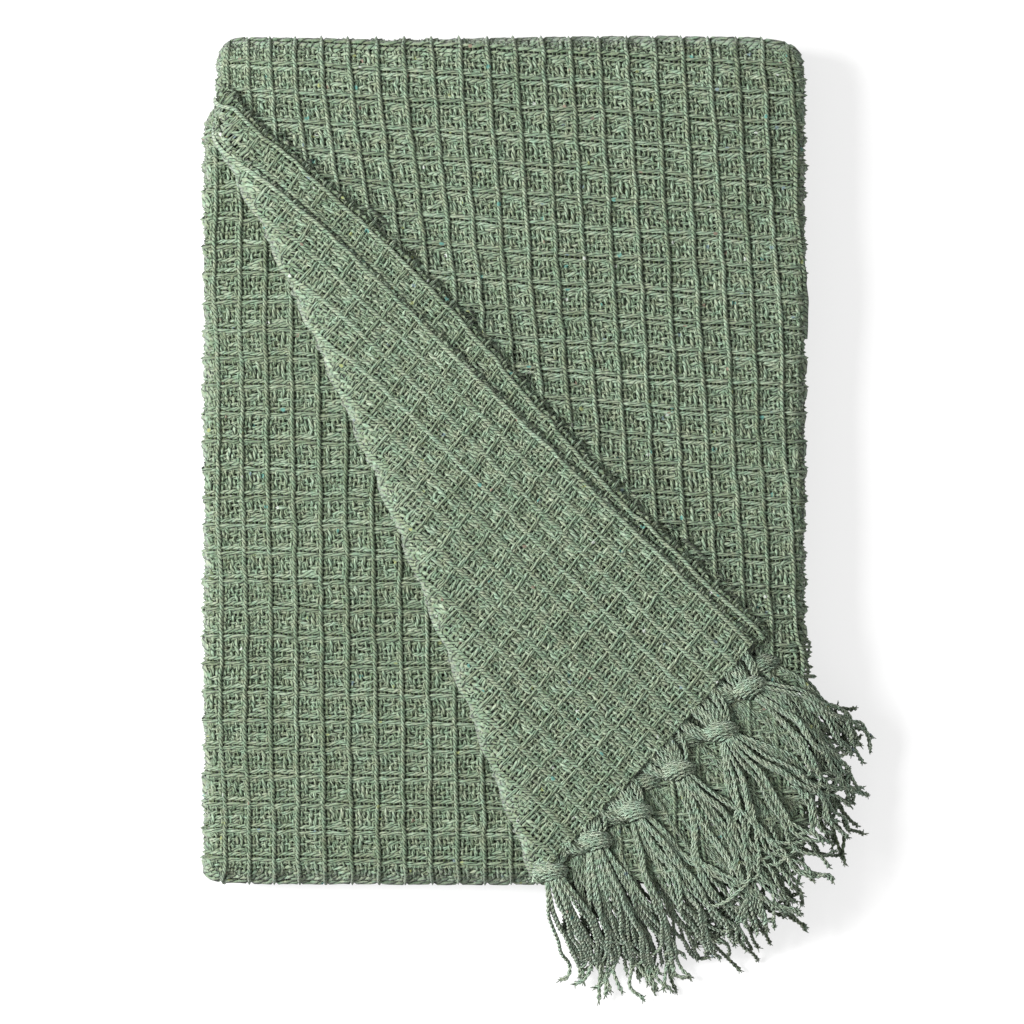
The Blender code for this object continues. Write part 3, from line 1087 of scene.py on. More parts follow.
@dataclass
class WovenFace:
    """Warp and weft tubes over the visible part of one face of the cloth.

    Args:
        name: start of the names of its warp piece and its weft piece; faces may share them.
        chart: the face's chart.
        weave: the draft and its sizes.
        u_range, v_range: the part of the chart that yarns are made for.
        visible: takes places and chart distances and says which crossings are kept, or None.
        lean: which way the pockets lean along the length.
        skew: how far the ends lean across and the picks slope along, as shares: the drape pulls
            the lattice out of square with the folds.
        level: shift of the whole woven layer from the face.
        tone: shade value added to all its yarns, a painted light or shade for the whole face.
        seed: for the small unevenness of its yarns.
        rise: takes places and gives how much further out the layer lies there.
    """

    name: str
    chart: ClothFace
    weave: WaffleWeave
    u_range: tuple[float, float]
    v_range: tuple[float, float]
    visible: Callable[[Array, Array, Array], Array] | None = None
    lean: float = 0.5
    skew: tuple[float, float] = (0.0, 0.0)
    level: float = 0.0006
    tone: float = 0.0
    seed: int = SEED
    rise: Callable[[Array], Array] | None = None

    def numbers(self) -> tuple[Array, Array]:
        """The crossings that the face needs, with those that its skew brings in.

        Returns:
            The number of the warp end and of the weft pick at each crossing.
        """
        weave = self.weave
        lean, slope = self.skew
        across = abs(lean) * (self.v_range[1] - self.v_range[0])
        along = abs(slope) * (self.u_range[1] - self.u_range[0])
        first_end = math.ceil((self.u_range[0] - across) / weave.end_spacing)
        last_end = math.floor(self.u_range[1] / weave.end_spacing)
        first_pick = math.ceil(self.v_range[0] / weave.pick_spacing)
        last_pick = math.floor((self.v_range[1] + along) / weave.pick_spacing)
        end, pick = np.meshgrid(np.arange(first_end, last_end + 1),
                                np.arange(first_pick, last_pick + 1), indexing="ij")
        return end, pick

    def lattice(self, end: Array, pick: Array, inner: Array, rng: Rng
                ) -> tuple[Array, Array]:
        """Cloth distances of the crossings.

        They are the slid places of the ends and picks, plus a slow drift, the skew, a zigzag of
        the ends over pairs of picks, and a small stray that grows into the pockets.

        Args:
            end, pick: numbers of the warp end and the weft pick at each crossing.
            inner: way from the ridges to the pocket's middle, from 0 to 1.
            rng: seeded random source.

        Returns:
            The distances u and v of each crossing.
        """
        weave, uneven, shape = self.weave, self.weave.uneven, end.shape
        u = weave.slid(end, 1.0) * weave.end_spacing
        u = u + uneven.drift_u * soft_noise(rng, shape, (13, 21))
        v = weave.slid(pick, self.lean) * weave.pick_spacing
        v = v + uneven.drift_v * soft_noise(rng, shape, (17, 11))
        u = u + uneven.stray_u * soft_noise(rng, shape, (3, 3))
        v = v + uneven.stray_v * soft_noise(rng, shape, (3, 3))
        lean, slope = self.skew
        u, v = u + lean * (self.v_range[1] - v), v - slope * (u - self.u_range[0])
        pairs = rng.choice([-1.0, 1.0], (shape[0], shape[1] // 2 + 1)).repeat(2, axis=1)
        zigzag = pairs[:, :shape[1]] * np.where(pick % 2 == 0, 1.0, -1.0)
        u = u + weave.zigzag * zigzag * np.minimum(1.0, 2.0 * inner)
        u = u + (uneven.shake + uneven.loose_u * inner) * rng.uniform(-1, 1, shape)
        v = v + (uneven.shake + uneven.loose_v * inner) * rng.uniform(-1, 1, shape)
        return u, v

    def tubes(self) -> list[tuple[str, TubeSet]]:
        """The warp ends and the weft picks, as tubes.

        Returns:
            The name and the tubes of the warp, and of the weft.
        """
        weave, uneven = self.weave, self.weave.uneven
        rng = np.random.default_rng(self.seed)
        end, pick = self.numbers()
        shape = end.shape
        inner = np.minimum(weave.ridge_distance(end), weave.ridge_distance(pick)) / 3.0
        u, v = self.lattice(end, pick, inner, rng)
        ground = weave.relief(end, pick, self.lean)
        ground = ground * (1.0 + uneven.depth * soft_noise(rng, shape, (7, 7))) + self.level
        over = np.where(weave.weft_on_face(end, pick, self.lean), -1.0, 1.0)
        swapped = (inner > 0.4) & (rng.uniform(0.0, 1.0, shape) < weave.mixed)
        over = np.where(swapped, -over, over)
        if self.rise:
            ground = ground + self.rise(self.chart.place(u, v, ground))
        plain = self.chart.place(u, v, ground)
        up = unit(self.chart.place(u, v, ground + 0.001) - plain)
        keep = self.visible(plain, u, v) if self.visible else np.ones(shape, bool)
        keep &= (u > self.u_range[0]) & (u < self.u_range[1])
        keep &= (v > self.v_range[0]) & (v < self.v_range[1])
        items = []
        for yarn in Yarn:
            warp = yarn is Yarn.WARP
            own, other = (end, pick) if warp else (pick, end)
            each = (shape[0], 1) if warp else (1, shape[1])
            on_face = over if warp else -over
            lift = weave.cross * (1.0 + uneven.lift * rng.uniform(-1, 1, shape))
            warp_lift = weave.warp_lift * inner * (1.0 if warp else -1.0)
            centre = self.chart.place(u, v, ground + on_face * lift + warp_lift)
            ridge = weave.ridge_share(own, other)
            ridge_swell = weave.warp_ridge_swell if warp else weave.ridge_swell
            thick = 1.0 + uneven.thickness * soft_noise(rng, shape, (1, 3) if warp else (3, 1))
            thick = thick + weave.swell * on_face + ridge_swell * ridge
            thick = thick + uneven.thickness * rng.uniform(-1, 1, shape)
            radius = (weave.warp_radius if warp else weave.weft_radius) * thick
            tone = self.tone + uneven.yarn_shade * rng.uniform(-1, 1, each)
            tone = tone + uneven.drift_shade * soft_noise(rng, shape, (1, 9) if warp else (9, 1))
            # painted shade on the ridges, and a painted highlight over each crossing with a painted
            # shade under it
            tone = tone + weave.ridge_painted_shade * ridge
            tone = tone + np.where(on_face > 0, weave.shade, -weave.dip_painted_shade)
            # random shade at each crossing, and painted light in a pocket's middle
            tone = tone + uneven.spot_shade * rng.uniform(-1, 1, shape) + weave.inner_painted_light * inner
            tight = weave.ridge_twist if warp else weave.bar_twist
            length = (v if warp else u) * np.where(weave.ridge_distance(own) == 0, tight, 1.0)
            length = length + rng.uniform(0.0, uneven.start, each)
            arrays = [centre, up, keep, radius, radius, tone, length]
            if not warp:
                arrays = [np.swapaxes(array, 0, 1) for array in arrays]
            tubes = TubeSet(*[np.ascontiguousarray(array) for array in arrays], lies_flat=True)
            items.append((f"{self.name}_{yarn.value}", tubes))
        return items


@dataclass
class WovenFaces:
    """All the woven faces of the blanket that show.

    Args:
        wrap: share of the left fold that the four large faces go round.
        pile_share, corner_share: share of the width over which the pile's and the corner's faces
            are made; the rest is covered.
        loose: how much further apart the flap's ends and picks lie.
        hem_under, hem: how far a face runs on under another, and radius of the free edges' bend.
        ridge_level: height at which the ridge's face lies on its ply.
        lip, lip_reach, lip_start: the flap's rise beside the ridge, its width and its start.
        roll_under: how far the flap's face runs on past the diagonal.
        corner_turn, ridge_turn: share of their half turn after which the corner's faces start.
        tip, lowest, beside, past_fold: what is left of the side folds at the turned corner, near
            the floor and beside the pile's face, and how far the others run on.
    """

    pile: FoldedPile
    weave: WaffleWeave = WaffleWeave()
    wrap: float = 0.62
    pile_share: float = 0.58
    corner_share: float = 0.62
    loose: tuple[float, float] = (1.05, 1.04)
    hem_under: float = 0.008
    hem: float = 0.0045
    ridge_level: float = 0.0034
    lip: float = 0.0055
    lip_reach: float = 0.018
    lip_start: float = 0.06
    roll_under: float = 0.004
    corner_turn: float = 0.14
    ridge_turn: float = 0.3
    tip: float = 0.030
    lowest: float = 0.60
    beside: float = 0.33
    past_fold: float = 0.0012

    def hang(self) -> Array:
        """Direction in which the turned corner's warp ends leave its end."""
        turn = 2.0 * self.pile.diagonal
        return np.array([math.sin(turn), -math.cos(turn)])

    def end_spot(self) -> Array:
        """A spot on the turned corner's end: where it meets the diagonal fold."""
        pile = self.pile
        return pile.apex + pile.fall * pile.along

    def ridge_line(self, length: Array) -> Array:
        """Distance right of the diagonal at which the upper plies' ridge ends: slant less roll."""
        return length * math.tan(self.pile.diagonal) - math.pi * self.pile.ridge_roll(length)

    def flat_spot(self, u: Array, v: Array) -> tuple[Array, Array]:
        """Distances along and right of the diagonal of a place on the cloth before the turn."""
        x = self.pile.left + self.pile.fold_reach + np.maximum(0.0, u)
        return self.pile.diagonal_place(np.stack([x, v], axis=-1))

    def flap_rise(self, points: Array) -> Array:
        """Rise of the flap to a lip beside the corner's ridge, as a bell curve across.

        Args:
            points: places on the flap.

        Returns:
            The rise at each.
        """
        length, beside = self.pile.diagonal_place(points)
        beyond = beside - self.pile.bow(points) - self.ridge_line(length)
        near = np.exp(-(np.maximum(0.0, beyond) / self.lip_reach) ** 2)
        return self.lip * near * smoothstep(length, 0.0, self.lip_start)

    def pile_shows(self, points: Array, u: Array, v: Array) -> Array:
        """Where the pile's face shows: left of the turned corner's roll."""
        _, beside = self.pile.diagonal_place(points)
        return self.pile.bow(points) - beside - self.pile.bend_reach > -self.hem_under

    def flap_shows(self, points: Array, u: Array, v: Array) -> Array:
        """Where the flap's face shows: right of the corner's ridge and beyond the corner's end.

        Args:
            points: places on the face.
            u, v: their distances across and along the cloth; not used.

        Returns:
            True or False for each.
        """
        length, beside = self.pile.diagonal_place(points)
        beside = beside - self.pile.bow(points)
        beyond = (points[..., :2] - self.end_spot()) @ self.hang()
        clear = (beside > self.ridge_line(length) - self.hem_under) | (beyond > -self.hem_under)
        return clear & (beside > -self.roll_under)

    def corner_shows(self, points: Array, u: Array, v: Array) -> Array:
        """Where the turned corner's lower plies show: once they have turned far enough."""
        _, beside = self.flat_spot(u, v)
        return beside < -self.corner_turn * math.pi * self.pile.outer_roll

    def ridge_shows(self, points: Array, u: Array, v: Array) -> Array:
        """Where its upper plies show: from their own turn to the edge of the lower plies.

        Args:
            points: places on the face; not used.
            u, v: their distances across and along the cloth.

        Returns:
            True or False for each.
        """
        length, beside = self.flat_spot(u, v)
        inner, edge = self.pile.ridge_roll(length), length * math.tan(self.pile.diagonal)
        reach = math.pi * (self.pile.outer_roll - inner) - beside - edge
        return (beside < -self.ridge_turn * math.pi * inner) & (reach > -self.hem_under)

    def faces(self) -> list[WovenFace]:
        """The faces: the pile's, the flap's, the two of the turned corner, the turns, the folds.

        Returns:
            The faces, in the order in which they are made.
        """
        pile = self.pile
        turn = math.pi * pile.turn_reach
        side_wrap = self.wrap * math.pi * pile.fold_reach
        width = pile.width - pile.fold_reach
        hem = self.hem
        end = width - hem + 0.5 * math.pi * hem
        pile_width, corner_width = self.pile_share * width, self.corner_share * width
        loose = replace(self.weave, end_spacing=self.loose[0] * self.weave.end_spacing,
                        pick_spacing=self.loose[1] * self.weave.pick_spacing)
        under = replace(self.weave, second_float=False, gap=0.04, ridge_swell=-0.20)
        # the flap's, corner's and ridge's tones are painted light, which makes each of those faces
        # paler as a whole
        return [
            WovenFace("pile", ClothFace(pile, 2, 1, Side.UP, True), self.weave,
                      (-side_wrap, pile_width), (pile.lower - turn, pile.upper),
                      self.pile_shows, lean=0.8, skew=(0.015, 0.015), seed=SEED + 1),
            WovenFace("flap", ClothFace(pile, 3, 1, Side.UP, False, Roll.INNER, hem=hem), loose,
                      (-side_wrap, end), (pile.flap_end, pile.upper + turn),
                      self.flap_shows, lean=-0.4, skew=(0.06, 0.06), tone=0.15, seed=SEED + 2,
                      rise=self.flap_rise),
            WovenFace("corner", ClothFace(pile, 3, 0, Side.DOWN, False, Roll.OUTER), under,
                      (-side_wrap, corner_width), (pile.flap_end, pile.upper),
                      self.corner_shows, lean=0.4, tone=0.35, seed=SEED + 3),
            WovenFace("ridge", ClothFace(pile, 3, 1, Side.DOWN, False, Roll.INNER), under,
                      (-side_wrap, corner_width), (pile.flap_end, pile.upper),
                      self.ridge_shows, lean=0.4, level=self.ridge_level, tone=0.1, seed=SEED + 4),
            WovenFace("turns", ClothFace(pile, 1, 1, Side.UP, False, hem=hem), self.weave,
                      (-side_wrap, end), (pile.upper, pile.upper + 0.8 * turn), seed=SEED + 5),
            WovenFace("turns", ClothFace(pile, 2, 1, Side.UP, True, hem=hem), self.weave,
                      (pile_width, end), (pile.lower - turn, pile.lower + 0.004), seed=SEED + 6),
        ] + self.side_folds()

    def side_folds(self) -> list[WovenFace]:
        """The folds that show at the pile's sides: two a pass at the left and one at the right.

        Returns:
            A face for each fold, from the bottom up.
        """
        pile = self.pile
        round_fold = math.pi * pile.fold_reach
        turn = math.pi * pile.turn_reach
        faces = []
        for run in range(pile.passes):
            flap = run == pile.passes - 1
            low = pile.flap_end if flap else pile.lower - (turn if run == 2 else 0.0)
            high = pile.upper + (0.0 if run % 2 == 0 else turn if flap else 0.8 * turn)
            for pair, mirrored in ((0.0, False), (1.0, False), (0.5, True)):
                rolled = flap and not mirrored
                roll = Roll.NONE if not rolled else Roll.INNER if pair else Roll.OUTER
                start = round_fold * (self.lowest if (run, pair) == (0, 0.0) else 1.0)
                stop = -self.beside * round_fold if (run, pair) == (2, 1.0) else self.past_fold
                chart = ClothFace(pile, run, pair, Side.UP, run % 2 == 0, roll, mirrored)
                faces.append(WovenFace(
                    "side_folds", chart, self.weave, (-start, stop),
                    (pile.upper - self.tip if rolled else low, high),
                    seed=SEED + 10 + len(faces)))
        return faces

    def build(self, material: Material) -> list[Item]:
        """Make one warp piece and one weft piece for each face, or for faces that share a name.

        Args:
            material: the yarns' finish.

        Returns:
            The pieces.
        """
        groups: dict[str, list[TubeSet]] = {}
        for face in self.faces():
            for name, tubes in face.tubes():
                groups.setdefault(name, []).append(tubes)
        items = []
        for name, group in groups.items():
            mesh = MeshArrays.joined([tubes.arrays() for tubes in group]).mesh(name)
            items.append(dress(link_mesh(name, mesh, material)))
            log.info("%s: %d faces", name, len(mesh.polygons))
        return items


# ---- the folded sheet ----------------------------------------------------------------------------

@dataclass(frozen=True)
class WaffleGround:
    """Cotton waffle seen from further off: ridges, pockets and yarn grain as colour and bump.

    It dresses the folded sheet, whose UV map holds cloth distances in metres. Its pockets are
    painted darker and its ridges paler, as painted shade and light, and where woven yarns lie
    over it, it takes a dark painted shade colour.

    Args:
        shaded: colour where woven yarns lie over it, and little light comes in.
        end_cell, pick_cell: a cell's size across and along.
        fibre_scale: fibres' features per metre.
        grain_relief, fibre_relief: height of the crossings and of the fibres against the ridges'.
        bump, bump_depth: strength and depth of the bump.
        cotton: the yarns' finish.
    """

    shaded: Colour = (0.035, 0.048, 0.030, 1.0)
    end_cell: float = 0.01424
    pick_cell: float = 0.01516
    fibre_scale: float = 1300.0
    grain_relief: float = 0.14
    fibre_relief: float = 0.12
    bump: float = 0.8
    bump_depth: float = 0.0022
    cotton: SageCotton = SageCotton()

    def material(self, name: str) -> Material:
        """Build the material: cell pyramids and crossing yarns from the cloth's UV map.

        Args:
            name: the material's name.

        Returns:
            The material.
        """
        make = NodeMaker(name)
        place = make.add("ShaderNodeTexCoord").outputs["Object"]
        uv = make.add("ShaderNodeUVMap", uv_map="yarn").outputs["UV"]
        parts = make.add("ShaderNodeSeparateXYZ", {"Vector": uv})
        covered = make.add("ShaderNodeAttribute", attribute_name="tone").outputs["Fac"]
        distances = []
        grains = []
        for axis, cell in (("X", self.end_cell), ("Y", self.pick_cell)):
            cells = make.math("MULTIPLY", parts.outputs[axis], 1.0 / cell)
            part = make.math("FRACT", cells)
            distances.append(make.math("MULTIPLY", make.math("PINGPONG", part, 0.5), 2.0))
            grains.append(make.math("SINE", make.math("MULTIPLY", cells, 12.0 * math.pi)))
        near = make.math("MINIMUM", distances[0], distances[1])
        ridge = make.math("SUBTRACT", 1.0, near)
        grain = make.math("MULTIPLY", grains[0], grains[1])
        fibre = make.noise(place, self.fibre_scale, 2.0, 0.6)
        # painted shade and light: darker in the pockets, paler on the ridges
        colour = make.ramp(ridge, ((0.0, self.cotton.deep), (0.7, self.cotton.base),
                                   (0.95, self.cotton.pale)))
        # painted shade: where woven yarns lie over the sheet it takes a dark colour, as in their
        # shade
        colour = make.mix(covered, colour, self.shaded)
        dapple = make.ramp(fibre, ((0.3, (0.72, 0.72, 0.72, 1.0)), (0.7, (1.12, 1.12, 1.12, 1.0))))
        colour = make.mix(0.8, colour, dapple, "MULTIPLY")
        fine = make.math("ADD", make.math("MULTIPLY", grain, self.grain_relief),
                         make.math("MULTIPLY", fibre, self.fibre_relief))
        height = make.math("ADD", ridge, fine)
        return make.cloth(self.cotton, colour, height, self.bump, self.bump_depth)


@dataclass
class FoldedSheet:
    """The whole cloth as one thin closed sheet that follows every fold.

    Its plies lie close to the middle of each pass, which leaves room for the woven yarns that
    lie over them.

    Args:
        pile: the folded shape.
        ply_steps, pass_steps: grid steps across one ply and along one pass.
        fold_steps, turn_steps: grid steps round a side fold and round a turn.
        thickness, ply_pitch: thickness and spacing of the plies.
        paired: distances from the flap's middle of its inner and outer plies, which close up in
            pairs because both faces of the upper pair show.
        inner_cuts, outer_cuts: cuts for the roll at the diagonal in the upper and lower plies.
    """

    pile: FoldedPile
    ply_steps: int = 22
    pass_steps: int = 30
    fold_steps: int = 6
    turn_steps: int = 10
    thickness: float = 0.0005
    ply_pitch: float = 0.0010
    paired: tuple[float, float] = (0.0027, 0.0034)
    inner_cuts: int = 6
    outer_cuts: int = 12

    def across(self) -> tuple[Array, ...]:
        """Stations across the W that the plies make.

        Returns:
            For each, the x of its flat part or fold centre, its ply, its share of the way round
            the fold, and the side that the ply runs to.
        """
        pile = self.pile
        left = pile.left + pile.fold_reach
        right = pile.right - pile.fold_reach
        free = pile.right - pile.free_setback
        rows = []
        for ply in range(pile.plies):
            leftward = ply % 2 == 0
            side = -1.0 if leftward else 1.0
            start = left if not leftward else (free if ply == 0 else right)
            end = left if leftward else (free if ply == pile.plies - 1 else right)
            rows += [(start + (end - start) * share, ply, 0.0, side)
                     for share in np.linspace(0.0, 1.0, self.ply_steps + 1)]
            if ply < pile.plies - 1:
                rows += [(end, ply, step / self.fold_steps, side)
                         for step in range(1, self.fold_steps)]
        return tuple(np.array(rows).T)

    def path(self) -> tuple[Array, ...]:
        """Stations along the passes and round the turns between them.

        Returns:
            For each, y and z of the pass's middle, y and z of its normal, and how far the plies
            are paired.
        """
        pile = self.pile
        rows = []
        for run in range(pile.passes):
            level = pile.stack / 2 + run * pile.pass_pitch
            upward = run % 2 == 0
            side = 1.0 if upward else -1.0
            start = pile.bottom + pile.first_setback if run == 0 else (
                pile.lower if upward else pile.upper)
            end = pile.flap_end if run == pile.passes - 1 else (
                pile.upper if upward else pile.lower)
            paired = 1.0 if run == pile.passes - 1 else 0.0
            rows += [(start + (end - start) * share, level, 0.0, side, paired)
                     for share in np.linspace(0.0, 1.0, self.pass_steps + 1)]
            if run < pile.passes - 1:
                for step in range(1, self.turn_steps):
                    turn = math.pi * step / self.turn_steps
                    rows.append((
                        end + side * pile.turn_radius * math.sin(turn),
                        level + pile.turn_radius * (1.0 - math.cos(turn)),
                        -math.sin(turn), side * math.cos(turn),
                        step / self.turn_steps if run == pile.passes - 2 else 0.0))
        return tuple(np.array(rows).T)

    def surfaces(self) -> tuple[Array, Array]:
        """Places of both faces of the sheet before the corner is turned over, and UVs.

        Each face point is the middle of the sheet plus or minus half its thickness along the
        W's normal; its height in the stack is then carried along the path's normal.

        Returns:
            The places, shaped (2, across, along, 3), and the cloth distances of each.
        """
        pile = self.pile
        x0, ply, fold, side = self.across()
        y0, z0, normal_y, normal_z, paired = self.path()
        steps = np.arange(pile.plies) - (pile.plies - 1) / 2
        inner, outer = self.paired
        closed = np.array([-outer, -inner, inner, outer])[:, None]
        levels = self.ply_pitch * steps[:, None] * (1.0 - paired) + closed * paired
        number = ply.astype(int)
        after = np.minimum(number + 1, pile.plies - 1)
        low, high = levels[number], levels[after]
        turn = (math.pi * fold)[:, None]
        outward = side[:, None]
        is_fold = fold[:, None] > 0.0
        radius = (high - low) / 2
        x = x0[:, None] + np.where(is_fold, outward * radius * np.sin(turn), 0.0)
        n = np.where(is_fold, (low + high) / 2 - radius * np.cos(turn), low)
        normal_x = np.where(is_fold, -np.sin(turn), 0.0)
        normal_n = np.where(is_fold, outward * np.cos(turn), outward)
        faces = []
        for half in (self.thickness / 2, -self.thickness / 2):
            level = n + half * normal_n
            faces.append(np.stack([x + half * normal_x, y0 + level * normal_y,
                                   z0 + level * normal_z], axis=-1))
        step_u = np.hypot(np.diff(x[:, 0]), np.diff(n[:, 0]))
        step_v = np.hypot(np.diff(y0), np.diff(z0))
        u = np.concatenate([[0.0], np.cumsum(step_u)])
        v = np.concatenate([[0.0], np.cumsum(step_v)])
        uv = np.stack(np.meshgrid(u, v, indexing="ij"), axis=-1)
        return np.stack(faces), uv

    def build(self, material: Material) -> Item:
        """Make the sheet: both faces, their rims, the cuts for the roll, then the folds.

        Args:
            material: the sheet's finish.

        Returns:
            The sheet as an object.
        """
        faces, uv = self.surfaces()
        _, ply, turned, _ = self.across()
        # only the lowest ply of the first pass lies bare, under the pile; the rest of the sheet
        # takes the dark painted shade colour
        bare = (ply == 0.0) & (turned == 0.0)
        first = np.arange(len(self.path()[0])) <= self.pass_steps
        covered = 1.0 - bare[:, None] * first
        rows, cols = faces.shape[1:3]
        upper, lower = np.arange(2 * rows * cols).reshape(2, rows, cols)
        rims = ((upper[:, 0], lower[:, 0]), (lower[:, -1], upper[:, -1]),
                (lower[0], upper[0]), (upper[-1], lower[-1]))
        grids = [upper, lower[::-1]] + [np.stack(rim) for rim in rims]
        quads = np.concatenate([grid_quads(grid) for grid in grids])
        flat_uv = np.concatenate([uv.reshape(-1, 2)] * 2)
        mesh = MeshArrays(faces.reshape(-1, 3), quads, np.zeros((0, 3), int), flat_uv[quads],
                          np.tile(covered.ravel(), 2)).mesh("waffle_sheet")
        self.cut_for_roll(mesh)
        self.fold(mesh)
        item = dress(link_mesh("waffle_sheet", mesh, material))
        log.info("waffle_sheet: %d faces", len(mesh.polygons))
        return item

    def cut_for_roll(self, mesh: Mesh) -> None:
        """Cut the flap's plies parallel to the diagonal fold, so that they can roll smoothly.

        Args:
            mesh: the sheet's mesh, flat.
        """
        pile = self.pile
        work = bmesh.new()
        work.from_mesh(mesh)
        for roll, steps, upper_pair in ((pile.inner_roll, self.inner_cuts, True),
                                        (pile.outer_roll, self.outer_cuts, False)):
            for step in range(steps + 1):
                spot = pile.apex - roll * math.pi * step / steps * pile.across
                near = pile.across @ spot
                cut = []
                for face in work.faces:
                    centre = face.calc_center_median()
                    if centre.z < pile.flap_base - pile.gap / 2 or centre.y > pile.upper:
                        continue
                    if (centre.z - pile.flap_base > pile.stack / 2) != upper_pair:
                        continue
                    if abs(centre.x * pile.across[0] + centre.y * pile.across[1] - near) < 0.03:
                        cut.append(face)
                edges = {edge for face in cut for edge in face.edges}
                verts = {vertex for face in cut for vertex in face.verts}
                bmesh.ops.bisect_plane(
                    work, geom=cut + list(edges) + list(verts), dist=1e-7,
                    plane_co=(spot[0], spot[1], 0.0), plane_no=(*pile.across, 0.0))
        bmesh.ops.recalc_face_normals(work, faces=work.faces[:])
        work.to_mesh(mesh)
        work.free()

    def fold(self, mesh: Mesh) -> None:
        """Turn the corner over and settle every point.

        Args:
            mesh: the sheet's mesh, flat.
        """
        pile = self.pile
        flat = np.empty(len(mesh.vertices) * 3, np.float32)
        mesh.vertices.foreach_get("co", flat)
        points = flat.reshape(-1, 3).astype(float)
        flap = (points[:, 2] > pile.flap_base - pile.gap / 2) & (points[:, 1] < pile.upper + 1e-6)
        low = points[:, 2] - pile.flap_base < pile.stack / 2
        roll = np.where(low, pile.outer_roll, pile.ridge_roll(pile.diagonal_place(points)[0]))
        turned = pile.turn_over(points, roll)
        folded = np.where(flap[:, None], pile.soften(turned, True), pile.soften(points, False))
        mesh.vertices.foreach_set("co", folded.astype(np.float32).ravel())
        mesh.update()


# ---- the fringe ----------------------------------------------------------------------------------

@dataclass
class StrandSet:
    """Two-ply strands: each is a pair of yarns wound round each other along a centre path.

    Args:
        paths: centre places, shaped (strands, points, 3), evenly spaced along each strand.
        tone: shade value for each strand: its row's painted light or shade, with random tone.
        ply_radius: half thickness of one yarn.
        wind_radius: distance of each yarn's centre from the strand's.
        pitch: length of one full turn of the pair.
        fray: how much further apart the yarns are at the free end, as a share.
        frayed: length over which they open out.
        seed: for the phase of each strand.
    """

    paths: Array
    tone: Array
    ply_radius: float = 0.00076
    wind_radius: float = 0.00058
    pitch: float = 0.0064
    fray: float = 0.0
    frayed: float = 0.006
    seed: int = SEED

    def tubes(self) -> list[TubeSet]:
        """The pair's two tube sets.

        Each yarn's centre goes round the path in a helix: the winding radius times cosine and
        sine of its phase, on the two directions across the path.

        Returns:
            One tube set for each yarn of the pair.
        """
        rng = np.random.default_rng(self.seed)
        step = np.linalg.norm(np.diff(self.paths, axis=1), axis=-1)
        along = np.concatenate([np.zeros((len(step), 1)), np.cumsum(step, axis=1)], axis=1)
        tangent = unit(np.gradient(self.paths, axis=1))
        side = unit(np.cross(np.array([0.0, 0.0, 1.0]), tangent))
        upward = np.cross(tangent, side)
        start = rng.uniform(0.0, 2.0 * math.pi, (len(step), 1))
        pitch = self.pitch * rng.uniform(0.88, 1.15, (len(step), 1))
        end = along[:, -1:]
        opening = 1.0 + self.fray * smoothstep(along, end - self.frayed, end)
        tone = np.broadcast_to(self.tone[:, None], along.shape)
        keep = np.ones(along.shape, bool)
        sets = []
        for ply in range(2):
            phase = (start + 2.0 * math.pi * along / pitch + math.pi * ply)[..., None]
            reach = (self.wind_radius * opening)[..., None]
            centre = self.paths + reach * (np.cos(phase) * side + np.sin(phase) * upward)
            radius = np.broadcast_to(self.ply_radius, along.shape)
            shade = tone + 0.20 * (2 * ply - 1) * rng.uniform(0.0, 1.0, (len(step), 1))
            sets.append(TubeSet(centre, upward, keep, radius, radius, shade, along))
        return sets


@dataclass(frozen=True)
class Tassel:
    """One knotted tassel: where its knot sits, and how its strands leave it.

    Args:
        place: the knot's place along the flap's end, from the diagonal fold.
        outward: the knot's distance beyond the cloth's end.
        heading: direction of its strands in degrees, clockwise from +X seen from above.
        length: length of its strands below the knot.
        fan: half the angle in degrees over which they spread.
        bend: turn of the whole tassel towards its tip, in degrees clockwise.
        strands: number of strands.
    """

    place: float
    outward: float
    heading: float
    length: float
    fan: float
    bend: float
    strands: int = 20


@dataclass
class TasselRow:
    """A row of tassels that hang from one ply of the turned corner.

    Args:
        name: start of its pieces' names.
        tassels: its tassels.
        level: height of the knots' centres below the top of the turned corner.
        rest: height at which its strands lie above the flap.
        tone: shade value of its strands: painted light on the top row, painted shade below it.
        seed: for the strands' unevenness.
    """

    name: str
    tassels: tuple[Tassel, ...]
    level: float
    rest: float
    tone: float
    seed: int


# the rows' tones are painted light and shade: the top row is paler, and the rows beneath it darker,
# as in the shade of the rows over them
TOP_ROW = TasselRow("top", (
    Tassel(0.0285, 0.0020, 68, 0.080, 9, -4, 18),
    Tassel(0.0555, 0.0076, 70, 0.108, 15, -6, 20),
    Tassel(0.0817, 0.0123, 58, 0.108, 16, -6, 20),
    Tassel(0.1137, 0.0143, 54, 0.100, 17, 6, 19),
    Tassel(0.1452, 0.0177, 49, 0.092, 24, 8, 21),
    Tassel(0.1732, 0.0133, 20, 0.084, 14, 50, 20),
), level=0.0036, rest=0.0084, tone=1.80, seed=101)

UNDER_ROW = TasselRow("under", (
    Tassel(0.0450, 0.0020, 66, 0.090, 12, -4, 15),
    Tassel(0.0700, 0.0050, 62, 0.108, 13, 0, 16),
    Tassel(0.0970, 0.0060, 56, 0.108, 14, 2, 18),
    Tassel(0.1290, 0.0070, 52, 0.102, 14, 8, 18),
    Tassel(0.1600, 0.0070, 38, 0.092, 14, 24, 18),
    Tassel(0.1874, 0.0108, 36, 0.066, 8, 30, 15),
), level=0.0080, rest=0.0048, tone=0.40, seed=202)

LOW_ROW = TasselRow("low", (
    Tassel(0.0400, 0.0010, 70, 0.080, 14, 0, 14),
    Tassel(0.0600, 0.0010, 72, 0.092, 16, 0, 14),
    Tassel(0.0850, 0.0010, 64, 0.132, 16, 0, 15),
    Tassel(0.1130, 0.0010, 60, 0.134, 16, 2, 15),
    Tassel(0.1420, 0.0010, 48, 0.117, 16, 8, 15),
    Tassel(0.1700, 0.0010, 34, 0.088, 16, 16, 14),
), level=0.0108, rest=0.0018, tone=-1.20, seed=303)


